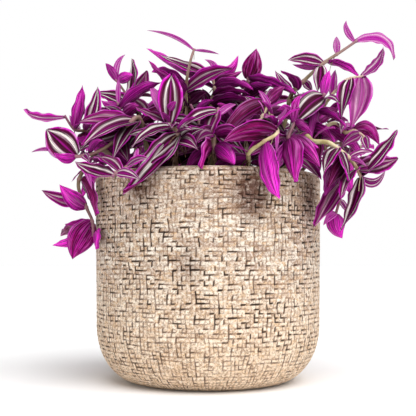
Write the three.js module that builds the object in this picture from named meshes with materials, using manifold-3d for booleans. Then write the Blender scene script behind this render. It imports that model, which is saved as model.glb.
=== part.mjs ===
// Potted tradescantia: a round stone pot, its soil, and thirty-two leafy stems.
// Millimetres, +Z up, origin at the middle of the pot's flat underside, front towards -Y.
import * as THREE from "three";
import { mergeVertices } from "three/addons/utils/BufferGeometryUtils.js";
import Module from "manifold-3d";

// Pot
const POT_RADIUS = 90;
const POT_HEIGHT = 163;
const POT_TAPER = 1.4;
const POT_CORNER_OUT = 33;
const POT_CORNER_UP = 45;
const WALL = 12;
const FLOOR = 14;
const LIP = WALL / 2;
const INNER_CORNER = 26;
const POT_SIDES = 36;
const SOIL_SIDES = POT_SIDES / 2;

// Soil
const SOIL_TOP = 148;
const SOIL_GAP = 0.4;
const HOLE_DEPTH = 8;
const HOLE_GAP = 1;
const HOLE_SIDES = 5;

// Stems
const STEM_SIDES = 4;
const STEM_STEPS = 2;
const CLOSE_ROUTE = 5;
const STEM_END = 0.55;
const FOOT_RISE = 24;

// Leaves
const BLADE = 0.7;
const ROOT_SINK = 0.15;
const FOLD = 0.3;
const WIDEST_AT = 0.36;
const CLASP = 0.2;
const ARCH = 0.09;
const SLENDER = 0.4;
const FULLNESS = 1.12;
const BROADEST = 19;
const STATIONS = [0.16, 0.44, 0.76];
const FEW_STATIONS = [0.27, 0.66];
const LEAST_STATIONS = [0.4];
const NARROW = 20;
const NARROWEST = 9;
const STRONG_BEND = 4;
const LONG_BEND = 28;

// The eye that the places of the front stems are read from: u runs right and v down over
// its view, and SIGHT is how many steps of u or v make a slope of one.
const EYE_BACK = 700;
const EYE_HEIGHT = 100;
const EYE_TILT = 0.053;
const SIGHT = 869;
const VIEW_MIDDLE = 207.6;

// How far a leaf may be moved along its line of sight to come clear, and how clear it must be.
const CLEARANCE = 5.2;
const OWN_CLEARANCE = 2.6;
const STEM_CLEARANCE = 3.2;
const POT_CLEARANCE = 2.2;
const LONGEST_LEAF = 68;
const SHIFTS = [0, 4, -4, 8, -8, 12, -12, 17, -17, 23, -23, 30, -30, 38, -38];

const TOP = "top";
const UNDER = "under";
const YOUNG = "young";

// Each stem: name, radius at its foot, foot [x, y], route [u, v, y] and leaves
// [place on the route, tip u, tip v, tip y, width seen in steps of u, side seen, bend [u, v]].
const FRONT_STEMS = [
  ["left_far", 1.7, [-60, 12], [[108, 140, 8], [86, 131, 6], [74, 129, 0], [64, 115, -4]], [
    [4, 23, 109, -4, 8, TOP, [-5, 6]],
    [3, 82, 84, -2, 12, UNDER, [2, 0]],
    [3, 69, 115, 12, 4, YOUNG],
    [2, 97, 86, 14, 14, TOP, [3, 0]],
    [1.6, 106, 108, 24, 11, UNDER],
    [2, 82, 152, -10, 14, UNDER],
  ]],
  ["left_low", 1.9, [-46, -14], [[140, 119, -24], [118, 138, -32], [98, 151, -36], [76, 156, -36],
    [52, 149, -30]], [
    [1.1, 80, 147, -52, 14, TOP],
    [1.5, 78, 151, -26, 17, TOP],
    [4, 46, 129, -34, 30, TOP, [-2, -2]],
    [4, 53, 152, -50, 10, UNDER, [0, 4]],
    [3.7, 90, 163, -46, 8, TOP],
    [5, 31, 152, -26, 4, YOUNG],
    [1.1, 112, 160, -44, 14, TOP],
    [2, 128, 162, -64, 14, TOP],
  ]],
  ["left_rim", 1.9, [-52, -44], [[152, 154, -58], [134, 163, -76], [119, 171, -90], [112, 176, -94]], [
    [4, 74, 161, -72, 14, TOP, [0, 3]],
    [3, 93, 158, -62, 9, TOP],
    [2, 138, 148, -70, 5, YOUNG],
    [2.5, 148, 158, -96, 8, TOP],
    [3.4, 140, 180, -102, 10, TOP],
  ]],
  ["front_left", 2.1, [-24, -50], [[175, 152, -64], [178, 134, -76], [169, 124, -60], [160, 110, -44]], [
    [2, 132, 174, -100, 18, TOP, [3, -3]],
    [2, 122, 195, -106, 16, TOP, [6, 1]],
    [1, 203, 129, -84, 12, TOP, [-2, -6]],
    [2.7, 131, 148, -72, 10, TOP, [-3, -5]],
    [3, 134, 106, -40, 8, TOP, [0, 1]],
    [3, 171, 75, -36, 24, TOP],
    [4, 150, 88, -30, 9, YOUNG],
    [1, 148, 160, -92, 14, UNDER],
    [1.5, 198, 150, -98, 14, TOP],
  ]],
  ["left_mid", 1.6, [-36, -2], [[142, 136, -10], [124, 119, -10], [117, 102, -8]], [
    [2, 153, 128, -38, 7, TOP],
    [3, 118, 78, -8, 5, YOUNG],
    [3, 101, 100, -14, 9, UNDER, [0, 3]],
    [2, 104, 106, -22, 9, TOP],
    [2.6, 161, 82, -6, 12, UNDER],
    [1.5, 106, 134, -14, 13, UNDER],
    [1, 126, 150, -30, 15, TOP],
    [2.2, 138, 106, -18, 12, UNDER],
  ]],
  ["left_back", 1.5, [-30, 32], [[146, 126, 30], [126, 94, 30], [115, 79, 28]], [
    [3, 125, 54, 30, 6, YOUNG, [-4, -3]],
    [3, 105, 63, 26, 8, UNDER],
    [3, 132, 75, 18, 11, UNDER, [0, -1]],
    [1.8, 131, 58, 44, 10, TOP, [3, -1]],
    [1.8, 146, 70, 36, 14, TOP, [3, 0]],
    [2, 101, 98, 34, 8, UNDER, [0, 1]],
    [1, 160, 96, 34, 14, UNDER],
  ]],
  ["top_left", 1.7, [-16, 8], [[186, 122, 6], [186, 84, -4], [190, 61, -13], [194, 48, -15]], [
    [4, 146, 30, -14, 4, YOUNG, [3, -4]],
    [4, 219, 54, -16, 3, YOUNG, [1, -1]],
    [2, 151, 72, 10, 9, UNDER, [-2, -4]],
    [1.6, 171, 77, -20, 11, UNDER],
    [1.8, 148, 60, -12, 8, UNDER, [-4, 3]],
    [1.4, 206, 92, -16, 12, UNDER],
    [1, 158, 118, -12, 14, TOP],
    [1, 200, 120, -20, 14, UNDER],
    [1.3, 164, 95, -18, 13, TOP],
  ]],
  ["top_mid", 1.9, [2, 14], [[211, 122, 8], [211, 104, 0], [214, 88, -5], [211, 74, -6]], [
    [4, 158, 54, 10, 10, TOP, [0, 1]],
    [3, 146, 48, 34, 8, UNDER, [-1, 3]],
    [4, 204, 59, -6, 7, YOUNG, [6, -2]],
    [4, 238, 55, 2, 12, UNDER, [6, 6]],
    [3.6, 242, 71, 2, 10, UNDER, [0, 4]],
    [3, 253, 90, -12, 10, UNDER, [-2, -5]],
    [2.4, 250, 94, -24, 9, UNDER, [0, -4]],
    [1.6, 255, 104, -34, 10, UNDER],
    [1.3, 236, 116, -28, 14, UNDER],
    [1.2, 202, 88, -10, 12, TOP],
  ]],
  ["top_bright", 1.8, [20, -2], [[240, 118, 4], [244, 92, 2], [248, 77, 0]], [
    [3, 256, 48, -2, 19, UNDER, [1, 0]],
    [3, 296, 94, -16, 10, UNDER, [0, -1]],
    [2.4, 236, 84, 6, 9, UNDER],
    [2, 272, 82, 14, 10, TOP],
    [1.3, 220, 84, 16, 12, TOP],
    [1, 266, 120, 22, 14, UNDER],
    [1.6, 272, 85, -20, 13, UNDER],
  ]],
  ["centre_front", 2.0, [2, -52], [[213, 150, -66], [214, 128, -64], [218, 108, -54]], [
    [3, 176, 131, -72, 11, TOP],
    [3, 204, 150, -88, 14, TOP],
    [2, 187, 150, -84, 13, UNDER],
    [2.6, 236, 104, -50, 7, YOUNG],
    [1, 202, 169, -100, 9, UNDER],
    [1.2, 234, 164, -92, 18, UNDER],
    [1, 184, 175, -98, 13, UNDER, [0, -7]],
    [1.6, 242, 134, -88, 13, UNDER],
    [1.5, 190, 130, -80, 13, TOP],
  ]],
  ["centre_bright", 1.9, [30, -30], [[247, 138, -40], [262, 116, -40], [269, 101, -38]], [
    [3, 218, 144, -74, 22, UNDER],
    [2, 292, 112, -34, 11, UNDER],
    [1, 228, 118, -32, 12, TOP],
    [3, 285, 86, -30, 12, UNDER],
    [1.4, 276, 140, -48, 12, TOP],
    [1, 262, 148, -62, 14, UNDER],
    [2, 244, 96, -38, 12, TOP],
  ]],
  ["pale_loop", 1.8, [26, -56], [[248, 162, -68], [249, 152, -80], [264, 141, -92], [277, 132, -88],
    [273, 121, -76], [270, 108, -68]], [
    [4, 222, 142, -100, 20, UNDER],
    [4, 276, 154, -94, 4, YOUNG],
    [3, 279, 199, -112, 20, UNDER, [-5, 2]],
    [6, 258, 90, -62, 6, YOUNG],
    [5, 285, 106, -80, 4, YOUNG, [4, 0]],
  ]],
  ["front_right", 2.0, [44, -46], [[284, 149, -56], [290, 146, -72], [288, 137, -80], [295, 121, -74]], [
    [3, 294, 182, -108, 21, UNDER],
    [3, 320, 167, -100, 18, UNDER],
    [2, 272, 179, -98, 10, UNDER],
    [4, 300, 95, -66, 9, UNDER],
    [4, 312, 134, -92, 9, UNDER],
    [2, 318, 148, -96, 13, UNDER],
    [4, 276, 110, -78, 10, UNDER],
  ]],
  ["right_mid", 1.9, [52, -20], [[311, 132, -34], [317, 112, -38], [324, 93, -36]], [
    [3, 288, 132, -62, 22, TOP],
    [2.4, 311, 142, -64, 10, UNDER],
    [2, 346, 127, -54, 7, UNDER],
    [1.4, 338, 110, -26, 14, UNDER],
    [1, 296, 112, -14, 14, UNDER],
    [1, 334, 142, -50, 12, UNDER],
    [1, 316, 175, -72, 13, UNDER, [0, -6]],
    [2, 302, 92, -30, 12, TOP],
    [3, 329, 70, -34, 10, UNDER],
  ]],
  ["right_top", 1.9, [42, 12], [[284, 124, 12], [290, 96, 8], [303, 81, 4], [318, 67, 0], [330, 58, -2],
    [341, 51, -4], [357, 40, -6]], [
    [4.4, 287, 60, 0, 12, TOP, [0, -3]],
    [3, 312, 92, 6, 8, TOP],
    [4.6, 358, 77, 10, 8, UNDER, [2, -2]],
    [4.2, 292, 64, 12, 6, YOUNG, [0, 2]],
    [2.2, 275, 70, 4, 8, TOP, [-1, 1]],
    [2.4, 280, 70, -12, 9, UNDER, [6, -1]],
    [4.2, 317, 92, -16, 13, TOP, [1, 0]],
    [5.6, 336, 36, -4, 7, YOUNG],
    [7, 346, 20, -6, 6, YOUNG, [-4, -1]],
    [7, 393, 60, -8, 10, TOP, [8, -10]],
  ]],
  ["right_arch", 1.7, [54, 8], [[318, 114, -14], [330, 97, -22], [341, 83, -26], [350, 78, -28],
    [363, 76, -28]], [
    [5, 383, 46, -26, 10, TOP, [5, 3]],
    [5, 350, 129, -46, 22, TOP, [4, 0]],
    [4, 341, 120, -40, 16, TOP],
    [1.4, 300, 98, -20, 10, UNDER],
    [2.1, 335, 69, -30, 8, YOUNG],
  ]],
  ["right_low", 2.2, [56, -34], [[300, 137, -48], [313, 141, -64], [327, 142, -70], [337, 148, -72],
    [349, 158, -70], [357, 169, -66], [361, 178, -64]], [
    [7, 339, 231, -78, 13, TOP, [6, -2]],
    [7, 397, 129, -52, 14, TOP, [3, 1]],
    [7, 385, 170, -70, 9, TOP, [1, 9]],
    [6, 398, 158, -40, 18, TOP, [0, 2]],
    [6, 340, 200, -92, 11, TOP],
    [5, 374, 152, -66, 6, TOP],
    [5, 366, 166, -84, 5, YOUNG],
    [4, 350, 182, -88, 8, TOP],
    [4, 323, 173, -98, 13, TOP],
    [5, 328, 188, -90, 14, UNDER],
  ]],
  ["right_branch", 1.6, [48, -6], [[326, 126, -28], [345, 132, -38], [354, 130, -38], [365, 137, -38]], [
    [3, 379, 145, -30, 15, UNDER, [2, -8]],
    [4, 368, 153, -44, 9, TOP],
    [3.6, 340, 148, -54, 11, TOP],
    [3, 375, 126, -18, 5, YOUNG, [0, -3]],
    [2, 337, 112, -44, 5, YOUNG],
    [1, 361, 157, -28, 14, UNDER],
  ]],
  ["right_trail", 1.9, [64, -14], [[312, 142, -30], [327, 151, -44], [338, 166, -50], [342, 182, -50],
    [339, 200, -50], [335, 215, -50]], [
    [4, 313, 227, -76, 17, TOP, [2, 1]],
    [6, 342, 238, -54, 18, UNDER, [-3, 0]],
    [6, 323, 225, -66, 8, YOUNG],
    [5, 348, 214, -44, 6, TOP],
    [3, 352, 196, -34, 16, UNDER],
    [3, 324, 196, -72, 16, UNDER],
    [2.5, 354, 176, -20, 14, UNDER],
    [4, 324, 178, -72, 14, UNDER],
  ]],
  ["inner_mid", 1.8, [-4, -22], [[204, 140, -28], [198, 120, -26], [190, 104, -24]], []],
  ["inner_front", 1.8, [16, -28], [[228, 142, -32], [232, 124, -32], [240, 108, -28]], []],
  ["left_trail", 1.9, [-60, -12], [[104, 150, -20], [84, 169, -26], [78, 186, -30], [86, 207, -30],
    [92, 221, -30], [93, 236, -30]], [
    [3.7, 41, 190, -24, 14, TOP, [1, 5]],
    [4, 59, 184, -42, 17, UNDER, [0, 3]],
    [5, 72, 259, -38, 26, UNDER, [-3, 0]],
    [5, 64, 224, -24, 9, UNDER, [0, 2]],
    [5.3, 60, 236, -20, 9, UNDER, [0, 0]],
    [5.6, 52, 245, -18, 12, UNDER, [0, 6]],
    [2.6, 95, 216, -52, 10, UNDER],
    [2, 92, 190, -52, 6, YOUNG],
    [6, 95, 249, -24, 7, UNDER],
  ]],
];

// The stems at the sides and back, which the view hides: azimuth in degrees from +X over the back,
// foot radius, reach, height of the crest and height of the end.
const BACK_STEMS = [
  ["back_right_low", 2, 66, 124, 190, 172],
  ["back_right", 18, 50, 126, 214, 196],
  ["back_right_trail", 42, 60, 114, 190, 134],
  ["back_mid_right", 60, 44, 112, 222, 214],
  ["back_trail", 86, 62, 124, 190, 122],
  ["back_left", 114, 56, 124, 214, 188],
  ["back_left_high", 146, 44, 122, 212, 204],
  ["back_left_trail", 163, 60, 104, 192, 162],
  ["crown_right", 40, 22, 66, 226, 234],
  ["crown_left", 132, 24, 66, 226, 238],
];
const BACK_LEAVES = 5;
const BACK_LEAF_LENGTH = 40;
const BACK_LEAF_WIDTH = 17;
const SEED = 1;

// The leaves that fill each front stem's lower part, turned to the front.
const FILL_PLACES = [0.6, 0.95, 1.35, 1.8];
const FILL_LENGTH = 36;
const FILL_WIDTH = 15;
const FILL_SEEN = 0.85;
const FILL_REACH = 110;

const COLOURS = {
  pot: 0xcdb49a,
  soil: 0x2e2119,
  foliage: 0x8a1f7c,
};

const wasm = await Module();
wasm.setup();

function mulberry(seed) {
  let state = seed >>> 0;
  return () => {
    state = (state + 0x6d2b79f5) >>> 0;
    let mixed = Math.imul(state ^ (state >>> 15), state | 1);
    mixed ^= mixed + Math.imul(mixed ^ (mixed >>> 7), mixed | 61);
    return ((mixed ^ (mixed >>> 14)) >>> 0) / 4294967296;
  };
}

function solidFrom(positions, indices) {
  const geometry = new THREE.BufferGeometry();
  geometry.setAttribute("position", new THREE.Float32BufferAttribute(positions, 3));
  geometry.setIndex(indices);
  return solidOf(geometry);
}

function solidOf(geometry) {
  const bare = geometry.clone();
  bare.deleteAttribute("normal");
  bare.deleteAttribute("uv");
  const merged = mergeVertices(bare, 1e-4);
  return new wasm.Manifold(new wasm.Mesh({
    numProp: 3,
    vertProperties: merged.attributes.position.array,
    triVerts: new Uint32Array(merged.index.array),
  }));
}

function largestBody(solid) {
  const bodies = solid.decompose();
  return bodies.reduce((best, body) => (body.volume() > best.volume() ? body : best));
}

function meshOf(name, solid, colour, roughness) {
  const made = solid.getMesh();
  const positions = [];
  for (let i = 0; i < made.numVert; i += 1) {
    positions.push(...made.vertProperties.subarray(i * made.numProp, i * made.numProp + 3));
  }
  const geometry = new THREE.BufferGeometry();
  geometry.setAttribute("position", new THREE.Float32BufferAttribute(positions, 3));
  geometry.setIndex([...made.triVerts]);
  geometry.computeVertexNormals();
  const material = new THREE.MeshStandardMaterial({ color: colour, roughness, metalness: 0 });
  const mesh = new THREE.Mesh(geometry, material);
  mesh.name = name;
  return mesh;
}

// The point at depth y on the line of sight through (u, v).
function onSight(u, v, y) {
  const across = (u - VIEW_MIDDLE) / SIGHT;
  const up = (VIEW_MIDDLE - v) / SIGHT;
  const ahead = Math.cos(EYE_TILT) - up * Math.sin(EYE_TILT);
  const rise = Math.sin(EYE_TILT) + up * Math.cos(EYE_TILT);
  const reach = (y + EYE_BACK) / ahead;
  return new THREE.Vector3(across * reach, y, EYE_HEIGHT + rise * reach);
}

const EYE = new THREE.Vector3(0, -EYE_BACK, EYE_HEIGHT);

// A stem's path: a straight foot in the soil, then a smooth curve through its route.
class StemPath {
  constructor(foot, route) {
    this.base = new THREE.Vector3(foot[0], foot[1], SOIL_TOP - HOLE_DEPTH + SOIL_GAP);
    const collar = new THREE.Vector3(foot[0], foot[1], SOIL_TOP + 2);
    this.points = [collar, ...route];
    this.spans = route.length;
    this.steps = this.spans < CLOSE_ROUTE ? STEM_STEPS : 1;
    this.before = route[0].clone().sub(new THREE.Vector3(0, 0, 2 * FOOT_RISE));
    const last = this.points[this.spans];
    this.after = last.clone().multiplyScalar(2).sub(this.points[this.spans - 1]);
  }

  at(place) {
    const span = Math.min(Math.floor(place), this.spans - 1);
    const t = place - span;
    const p1 = this.points[span];
    const p2 = this.points[span + 1];
    const p0 = span > 0 ? this.points[span - 1] : this.before;
    const p3 = span + 2 <= this.spans ? this.points[span + 2] : this.after;
    const weights = [
      (-t + 2 * t * t - t * t * t) / 2,
      (2 - 5 * t * t + 3 * t * t * t) / 2,
      (t + 4 * t * t - 3 * t * t * t) / 2,
      (-t * t + t * t * t) / 2,
    ];
    const point = new THREE.Vector3();
    [p0, p1, p2, p3].forEach((p, i) => point.addScaledVector(p, weights[i]));
    return point;
  }

  // The middle of the faceted stem, between two of its rings.
  anchor(place) {
    const rings = Math.min(place, this.spans - ROOT_SINK) * this.steps;
    const ring = Math.floor(rings);
    const share = rings - ring;
    return this.at(ring / this.steps).lerp(this.at((ring + 1) / this.steps), share);
  }
}

function stemSolid(path, radius) {
  const centres = [path.base];
  for (let i = 0; i <= path.spans * path.steps; i += 1) {
    centres.push(path.at(i / path.steps));
  }
  const positions = [];
  let side = new THREE.Vector3(1, 0, 0);
  centres.forEach((centre, i) => {
    const ahead = centres[Math.min(i + 1, centres.length - 1)];
    const behind = centres[Math.max(i - 1, 0)];
    const along = i < 2 ? new THREE.Vector3(0, 0, 1) : ahead.clone().sub(behind).normalize();
    side = side.clone().addScaledVector(along, -side.dot(along)).normalize();
    const other = along.clone().cross(side);
    const thickness = radius * (1 - (1 - STEM_END) * (i / (centres.length - 1)));
    for (let k = 0; k < STEM_SIDES; k += 1) {
      const turn = (2 * Math.PI * k) / STEM_SIDES;
      const point = centre.clone();
      point.addScaledVector(side, thickness * Math.cos(turn));
      point.addScaledVector(other, thickness * Math.sin(turn));
      positions.push(...point);
    }
  });
  const indices = [];
  for (let i = 0; i + 1 < centres.length; i += 1) {
    for (let k = 0; k < STEM_SIDES; k += 1) {
      const a = i * STEM_SIDES + k;
      const b = i * STEM_SIDES + ((k + 1) % STEM_SIDES);
      indices.push(a, b, b + STEM_SIDES, a, b + STEM_SIDES, a + STEM_SIDES);
    }
  }
  const end = (centres.length - 1) * STEM_SIDES;
  for (let k = 1; k + 1 < STEM_SIDES; k += 1) {
    indices.push(0, k + 1, k, end, end + k, end + k + 1);
  }
  return solidFrom(positions, indices);
}

// Width of a blade along its midrib, as a share of its widest.
function outline(t) {
  if (t < WIDEST_AT) {
    const short = (WIDEST_AT - t) / WIDEST_AT;
    return 1 - (1 - CLASP) * short * short;
  }
  return Math.cos(((t - WIDEST_AT) / (1 - WIDEST_AT)) * (Math.PI / 2)) ** 0.95;
}

// A leaf's surface: a curved midrib, and two halves that fold up from it.
class Leaf {
  constructor(base, tip, middle, width, topNormal) {
    this.base = base;
    this.tip = tip;
    this.control = middle.clone().multiplyScalar(2);
    this.control.addScaledVector(base, -0.5).addScaledVector(tip, -0.5);
    this.width = width;
    const along = tip.clone().sub(base).normalize();
    this.side = topNormal.clone().cross(along).normalize();
  }

  point(t, s) {
    const along = this.control.clone().sub(this.base).multiplyScalar(1 - t);
    along.addScaledVector(this.tip.clone().sub(this.control), t).normalize();
    const side = this.side.clone().addScaledVector(along, -this.side.dot(along)).normalize();
    const normal = along.clone().cross(side);
    const half = (this.width / 2) * outline(t);
    const place = this.base.clone().multiplyScalar((1 - t) * (1 - t));
    place.addScaledVector(this.control, 2 * t * (1 - t));
    place.addScaledVector(this.tip, t * t);
    place.addScaledVector(side, s * half * Math.cos(FOLD));
    place.addScaledVector(normal, Math.abs(s) * half * Math.sin(FOLD));
    return { place, normal };
  }

  probes() {
    const found = [];
    for (const t of [0.24, 0.38, 0.52, 0.66, 0.8, 0.97]) {
      for (const s of [-0.75, 0, 0.75]) {
        found.push(this.point(t, s).place);
      }
    }
    return found;
  }

  // A closed blade: one point at each end, three across between them, alike on both faces.
  solid(stations) {
    const inner = stations.map((t) => [1, 0, -1].map((s) => this.point(t, s)));
    const points = [this.point(0, 0), ...inner.flat(), this.point(1, 0)];
    const positions = [BLADE / 2, -BLADE / 2].flatMap((lift) =>
      points.flatMap(({ place, normal }) => [...place.clone().addScaledVector(normal, lift)]));
    const under = points.length;
    const tip = under - 1;
    const indices = [];
    const face = (a, b, c) => indices.push(a, b, c, under + a, under + c, under + b);
    const rim = (a, b) => indices.push(a, b, under + b, a, under + b, under + a);
    face(0, 2, 1);
    face(0, 3, 2);
    rim(0, 1);
    rim(3, 0);
    for (let r = 1; r + 5 < tip; r += 3) {
      face(r, r + 1, r + 4);
      face(r, r + 4, r + 3);
      face(r + 1, r + 2, r + 4);
      face(r + 2, r + 5, r + 4);
      rim(r, r + 3);
      rim(r + 5, r + 2);
    }
    face(tip - 3, tip - 2, tip);
    face(tip - 2, tip - 1, tip);
    rim(tip - 3, tip);
    rim(tip, tip - 1);
    return solidFrom(positions, indices);
  }
}

// Which way a leaf's top looks, from the side that is seen and how wide it is seen.
function topNormal(base, tip, seenWidth, width, kind) {
  const along = tip.clone().sub(base).normalize();
  const middle = base.clone().add(tip).multiplyScalar(0.5);
  const facing = EYE.clone().sub(middle).normalize();
  facing.addScaledVector(along, -facing.dot(along)).normalize();
  if (kind === UNDER) facing.negate();
  const level = along.clone().cross(facing);
  const share = Math.min(1, seenWidth / width);
  const tilt = Math.sqrt(1 - share * share) * (level.z < 0 ? -1 : 1);
  return facing.multiplyScalar(share).addScaledVector(level, tilt);
}

function frontLeaf(base, row, shift) {
  const [, u, v, y, seen, kind, bend] = row;
  const tip = onSight(u, v, y + shift);
  const middle = base.clone().add(tip).multiplyScalar(0.5);
  const length = base.distanceTo(tip);
  middle.z += ARCH * length;
  if (bend) {
    const step = (middle.y + EYE_BACK) / SIGHT;
    middle.x += bend[0] * step;
    middle.z -= bend[1] * step + ARCH * length;
  }
  const seenWidth = (FULLNESS * seen * (middle.y + EYE_BACK)) / SIGHT;
  const slender = kind === YOUNG ? 0 : SLENDER * length;
  const width = Math.min(Math.max(seenWidth, slender), Math.max(BROADEST, seenWidth));
  const leaf = new Leaf(base, tip, middle, width, topNormal(base, tip, seenWidth, width, kind));
  leaf.bent = bend && Math.hypot(...bend) > STRONG_BEND;
  return leaf;
}

function backLeaf(base, row, shift) {
  const [, heading, rise, length, width] = row;
  const turned = heading + shift / BACK_LEAF_LENGTH;
  const flat = Math.cos(rise);
  const along = new THREE.Vector3(flat * Math.cos(turned), flat * Math.sin(turned), Math.sin(rise));
  const tip = base.clone().addScaledVector(along, length);
  const middle = base.clone().add(tip).multiplyScalar(0.5);
  middle.z += ARCH * length;
  const up = new THREE.Vector3(0, 0, 1);
  up.addScaledVector(along, -up.dot(along)).normalize();
  return new Leaf(base, tip, middle, width, up);
}

function fillLeaf(base, row, shift) {
  const [, heading, rise, lean, length, width, kind] = row;
  const tip = base.clone();
  tip.x += heading * Math.cos(rise) * length;
  tip.y += lean * length + shift;
  tip.z += Math.sin(rise) * length;
  const middle = base.clone().add(tip).multiplyScalar(0.5);
  middle.z += ARCH * length;
  return new Leaf(base, tip, middle, width, topNormal(base, tip, FILL_SEEN * width, width, kind));
}

function fillRows(path, random) {
  return FILL_PLACES.filter((place) => place < path.spans - 0.6).map((place, i) => {
    const heading = i % 2 ? 1 : -1;
    const rise = 0.5 - 1.5 * random();
    const lean = 0.25 - 0.6 * random();
    const size = 0.8 + 0.4 * random();
    const kind = random() < 0.5 ? TOP : UNDER;
    return [place, heading, rise, lean, FILL_LENGTH * size, FILL_WIDTH * size, kind];
  });
}

// How far a point stands off the pot's wall and the soil.
function potDistance(point) {
  const radius = Math.hypot(point.x, point.y);
  const out = Math.max(radius - POT_RADIUS, POT_RADIUS - WALL - radius, 0);
  const above = Math.max(point.z - POT_HEIGHT, 0);
  const wall = Math.hypot(out, above);
  const soil = radius < POT_RADIUS ? point.z - SOIL_TOP : wall;
  return Math.min(wall, soil);
}

function clearanceOf(probes, stemIndex, obstacles) {
  let least = Infinity;
  for (const probe of probes) {
    least = Math.min(least, potDistance(probe) - POT_CLEARANCE);
    for (const { place, owner, room } of obstacles) {
      const need = owner === stemIndex ? OWN_CLEARANCE : room;
      if (need > 0) least = Math.min(least, probe.distanceTo(place) - need);
    }
  }
  return least;
}

function backStem(row, random) {
  const [name, azimuth, footRadius, reach, crest, end] = row;
  const turn = THREE.MathUtils.degToRad(azimuth);
  const sway = (random() - 0.5) * 0.2;
  const place = (radius, angle, z) =>
    new THREE.Vector3(radius * Math.cos(angle), radius * Math.sin(angle), z);
  const foot = place(footRadius, turn, 0);
  const middle = (footRadius + reach) / 2;
  const route = [
    place(middle - 4, turn + sway / 2, (SOIL_TOP + crest) / 2 + 14),
    place(middle + 14, turn + sway, crest),
    place(reach, turn + sway * 1.5, end),
  ];
  const leaves = [];
  for (let i = 0; i < BACK_LEAVES; i += 1) {
    const share = i / (BACK_LEAVES - 1);
    const at = 1 + 2 * share;
    const swing = i % 2 ? 1 : -1;
    const spread = (1.35 - 0.9 * share) * swing + (random() - 0.5) * 0.4;
    const rise = 0.35 - 0.75 * share * (end < crest - 20 ? 1.4 : 0.3) + (random() - 0.5) * 0.5;
    const size = 0.82 + 0.3 * random() - 0.12 * share;
    leaves.push([at, turn + spread, rise, BACK_LEAF_LENGTH * size, BACK_LEAF_WIDTH * size]);
  }
  return { name, radius: 1.8, foot: [foot.x, foot.y], route, leaves, place: backLeaf };
}

function allStems() {
  const random = mulberry(SEED);
  const front = FRONT_STEMS.map(([name, radius, foot, seen, leaves]) => ({
    name, radius, foot, route: seen.map((p) => onSight(...p)), leaves, place: frontLeaf,
  }));
  const stems = [...front, ...BACK_STEMS.map((row) => backStem(row, random))];
  stems.forEach((stem) => {
    stem.path = new StemPath(stem.foot, stem.route);
    stem.fill = stem.place === frontLeaf ? fillRows(stem.path, random) : [];
  });
  return stems;
}

// Every leaf takes the first place along its line of sight, or turn about its stem,
// that is clear of the pot, the soil, the other stems and the leaves before it. A leaf of the
// fill that finds none is left out.
function placeLeaves(stems) {
  const obstacles = [];
  stems.forEach(({ path, radius }, owner) => {
    for (let i = 0; i <= path.spans * 8; i += 1) {
      obstacles.push({ place: path.at(i / 8), owner, room: radius + STEM_CLEARANCE, stem: true });
    }
  });
  const settle = (stem, owner, row, place) => {
    const base = stem.path.anchor(row[0]);
    const others = obstacles.filter((o) => !(o.stem && o.owner === owner));
    let best = null;
    for (const shift of SHIFTS) {
      const leaf = place(base, row, shift);
      if (shift !== 0 && base.distanceTo(leaf.tip) > LONGEST_LEAF) continue;
      const clear = clearanceOf(leaf.probes(), owner, others);
      if (!best || clear > best.clear) best = { leaf, clear };
      if (clear >= 0) break;
    }
    const outside = Math.hypot(best.leaf.tip.x, best.leaf.tip.y) > FILL_REACH;
    if (place === fillLeaf && (best.clear < 0 || outside)) return;
    best.leaf.probes().forEach((probe) => obstacles.push({ place: probe, owner, room: CLEARANCE }));
    stem.blades.push(best.leaf);
  };
  stems.forEach((stem, owner) => {
    stem.blades = [];
    stem.leaves.forEach((row) => settle(stem, owner, row, stem.place));
  });
  stems.forEach((stem, owner) => stem.fill.forEach((row) => settle(stem, owner, row, fillLeaf)));
}

// A broad leaf, or a long one that bends, is cut across in more places.
function stationsOf(leaf) {
  const bent = leaf.bent && leaf.base.distanceTo(leaf.tip) > LONG_BEND;
  if (leaf.width < NARROWEST) return bent ? STATIONS : LEAST_STATIONS;
  return leaf.width < NARROW ? FEW_STATIONS : STATIONS;
}

function leafyStem(stem) {
  let solid = stemSolid(stem.path, stem.radius);
  for (const leaf of stem.blades) {
    solid = solid.add(leaf.solid(stationsOf(leaf)));
  }
  return largestBody(solid);
}

function arc(centreR, centreZ, radiusR, radiusZ, from, to, steps) {
  const points = [];
  for (let i = 0; i <= steps; i += 1) {
    const angle = from + ((to - from) * i) / steps;
    const out = centreR + radiusR * Math.cos(angle);
    points.push(new THREE.Vector2(out, centreZ + radiusZ * Math.sin(angle)));
  }
  return points;
}

function turned(profile, sides) {
  return solidOf(new THREE.LatheGeometry(profile, sides).rotateX(Math.PI / 2));
}

function potSolid() {
  const foot = POT_RADIUS - POT_TAPER;
  const inner = POT_RADIUS - WALL;
  const quarter = Math.PI / 2;
  return turned([
    new THREE.Vector2(0, 0),
    ...arc(foot - POT_CORNER_OUT, POT_CORNER_UP, POT_CORNER_OUT, POT_CORNER_UP, -quarter, 0, 6),
    ...arc(POT_RADIUS - LIP, POT_HEIGHT - LIP, LIP, LIP, 0, 2 * quarter, 4),
    ...arc(inner - INNER_CORNER, FLOOR + INNER_CORNER, INNER_CORNER, INNER_CORNER, 0, -quarter, 3),
    new THREE.Vector2(0, FLOOR),
  ], POT_SIDES);
}

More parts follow.
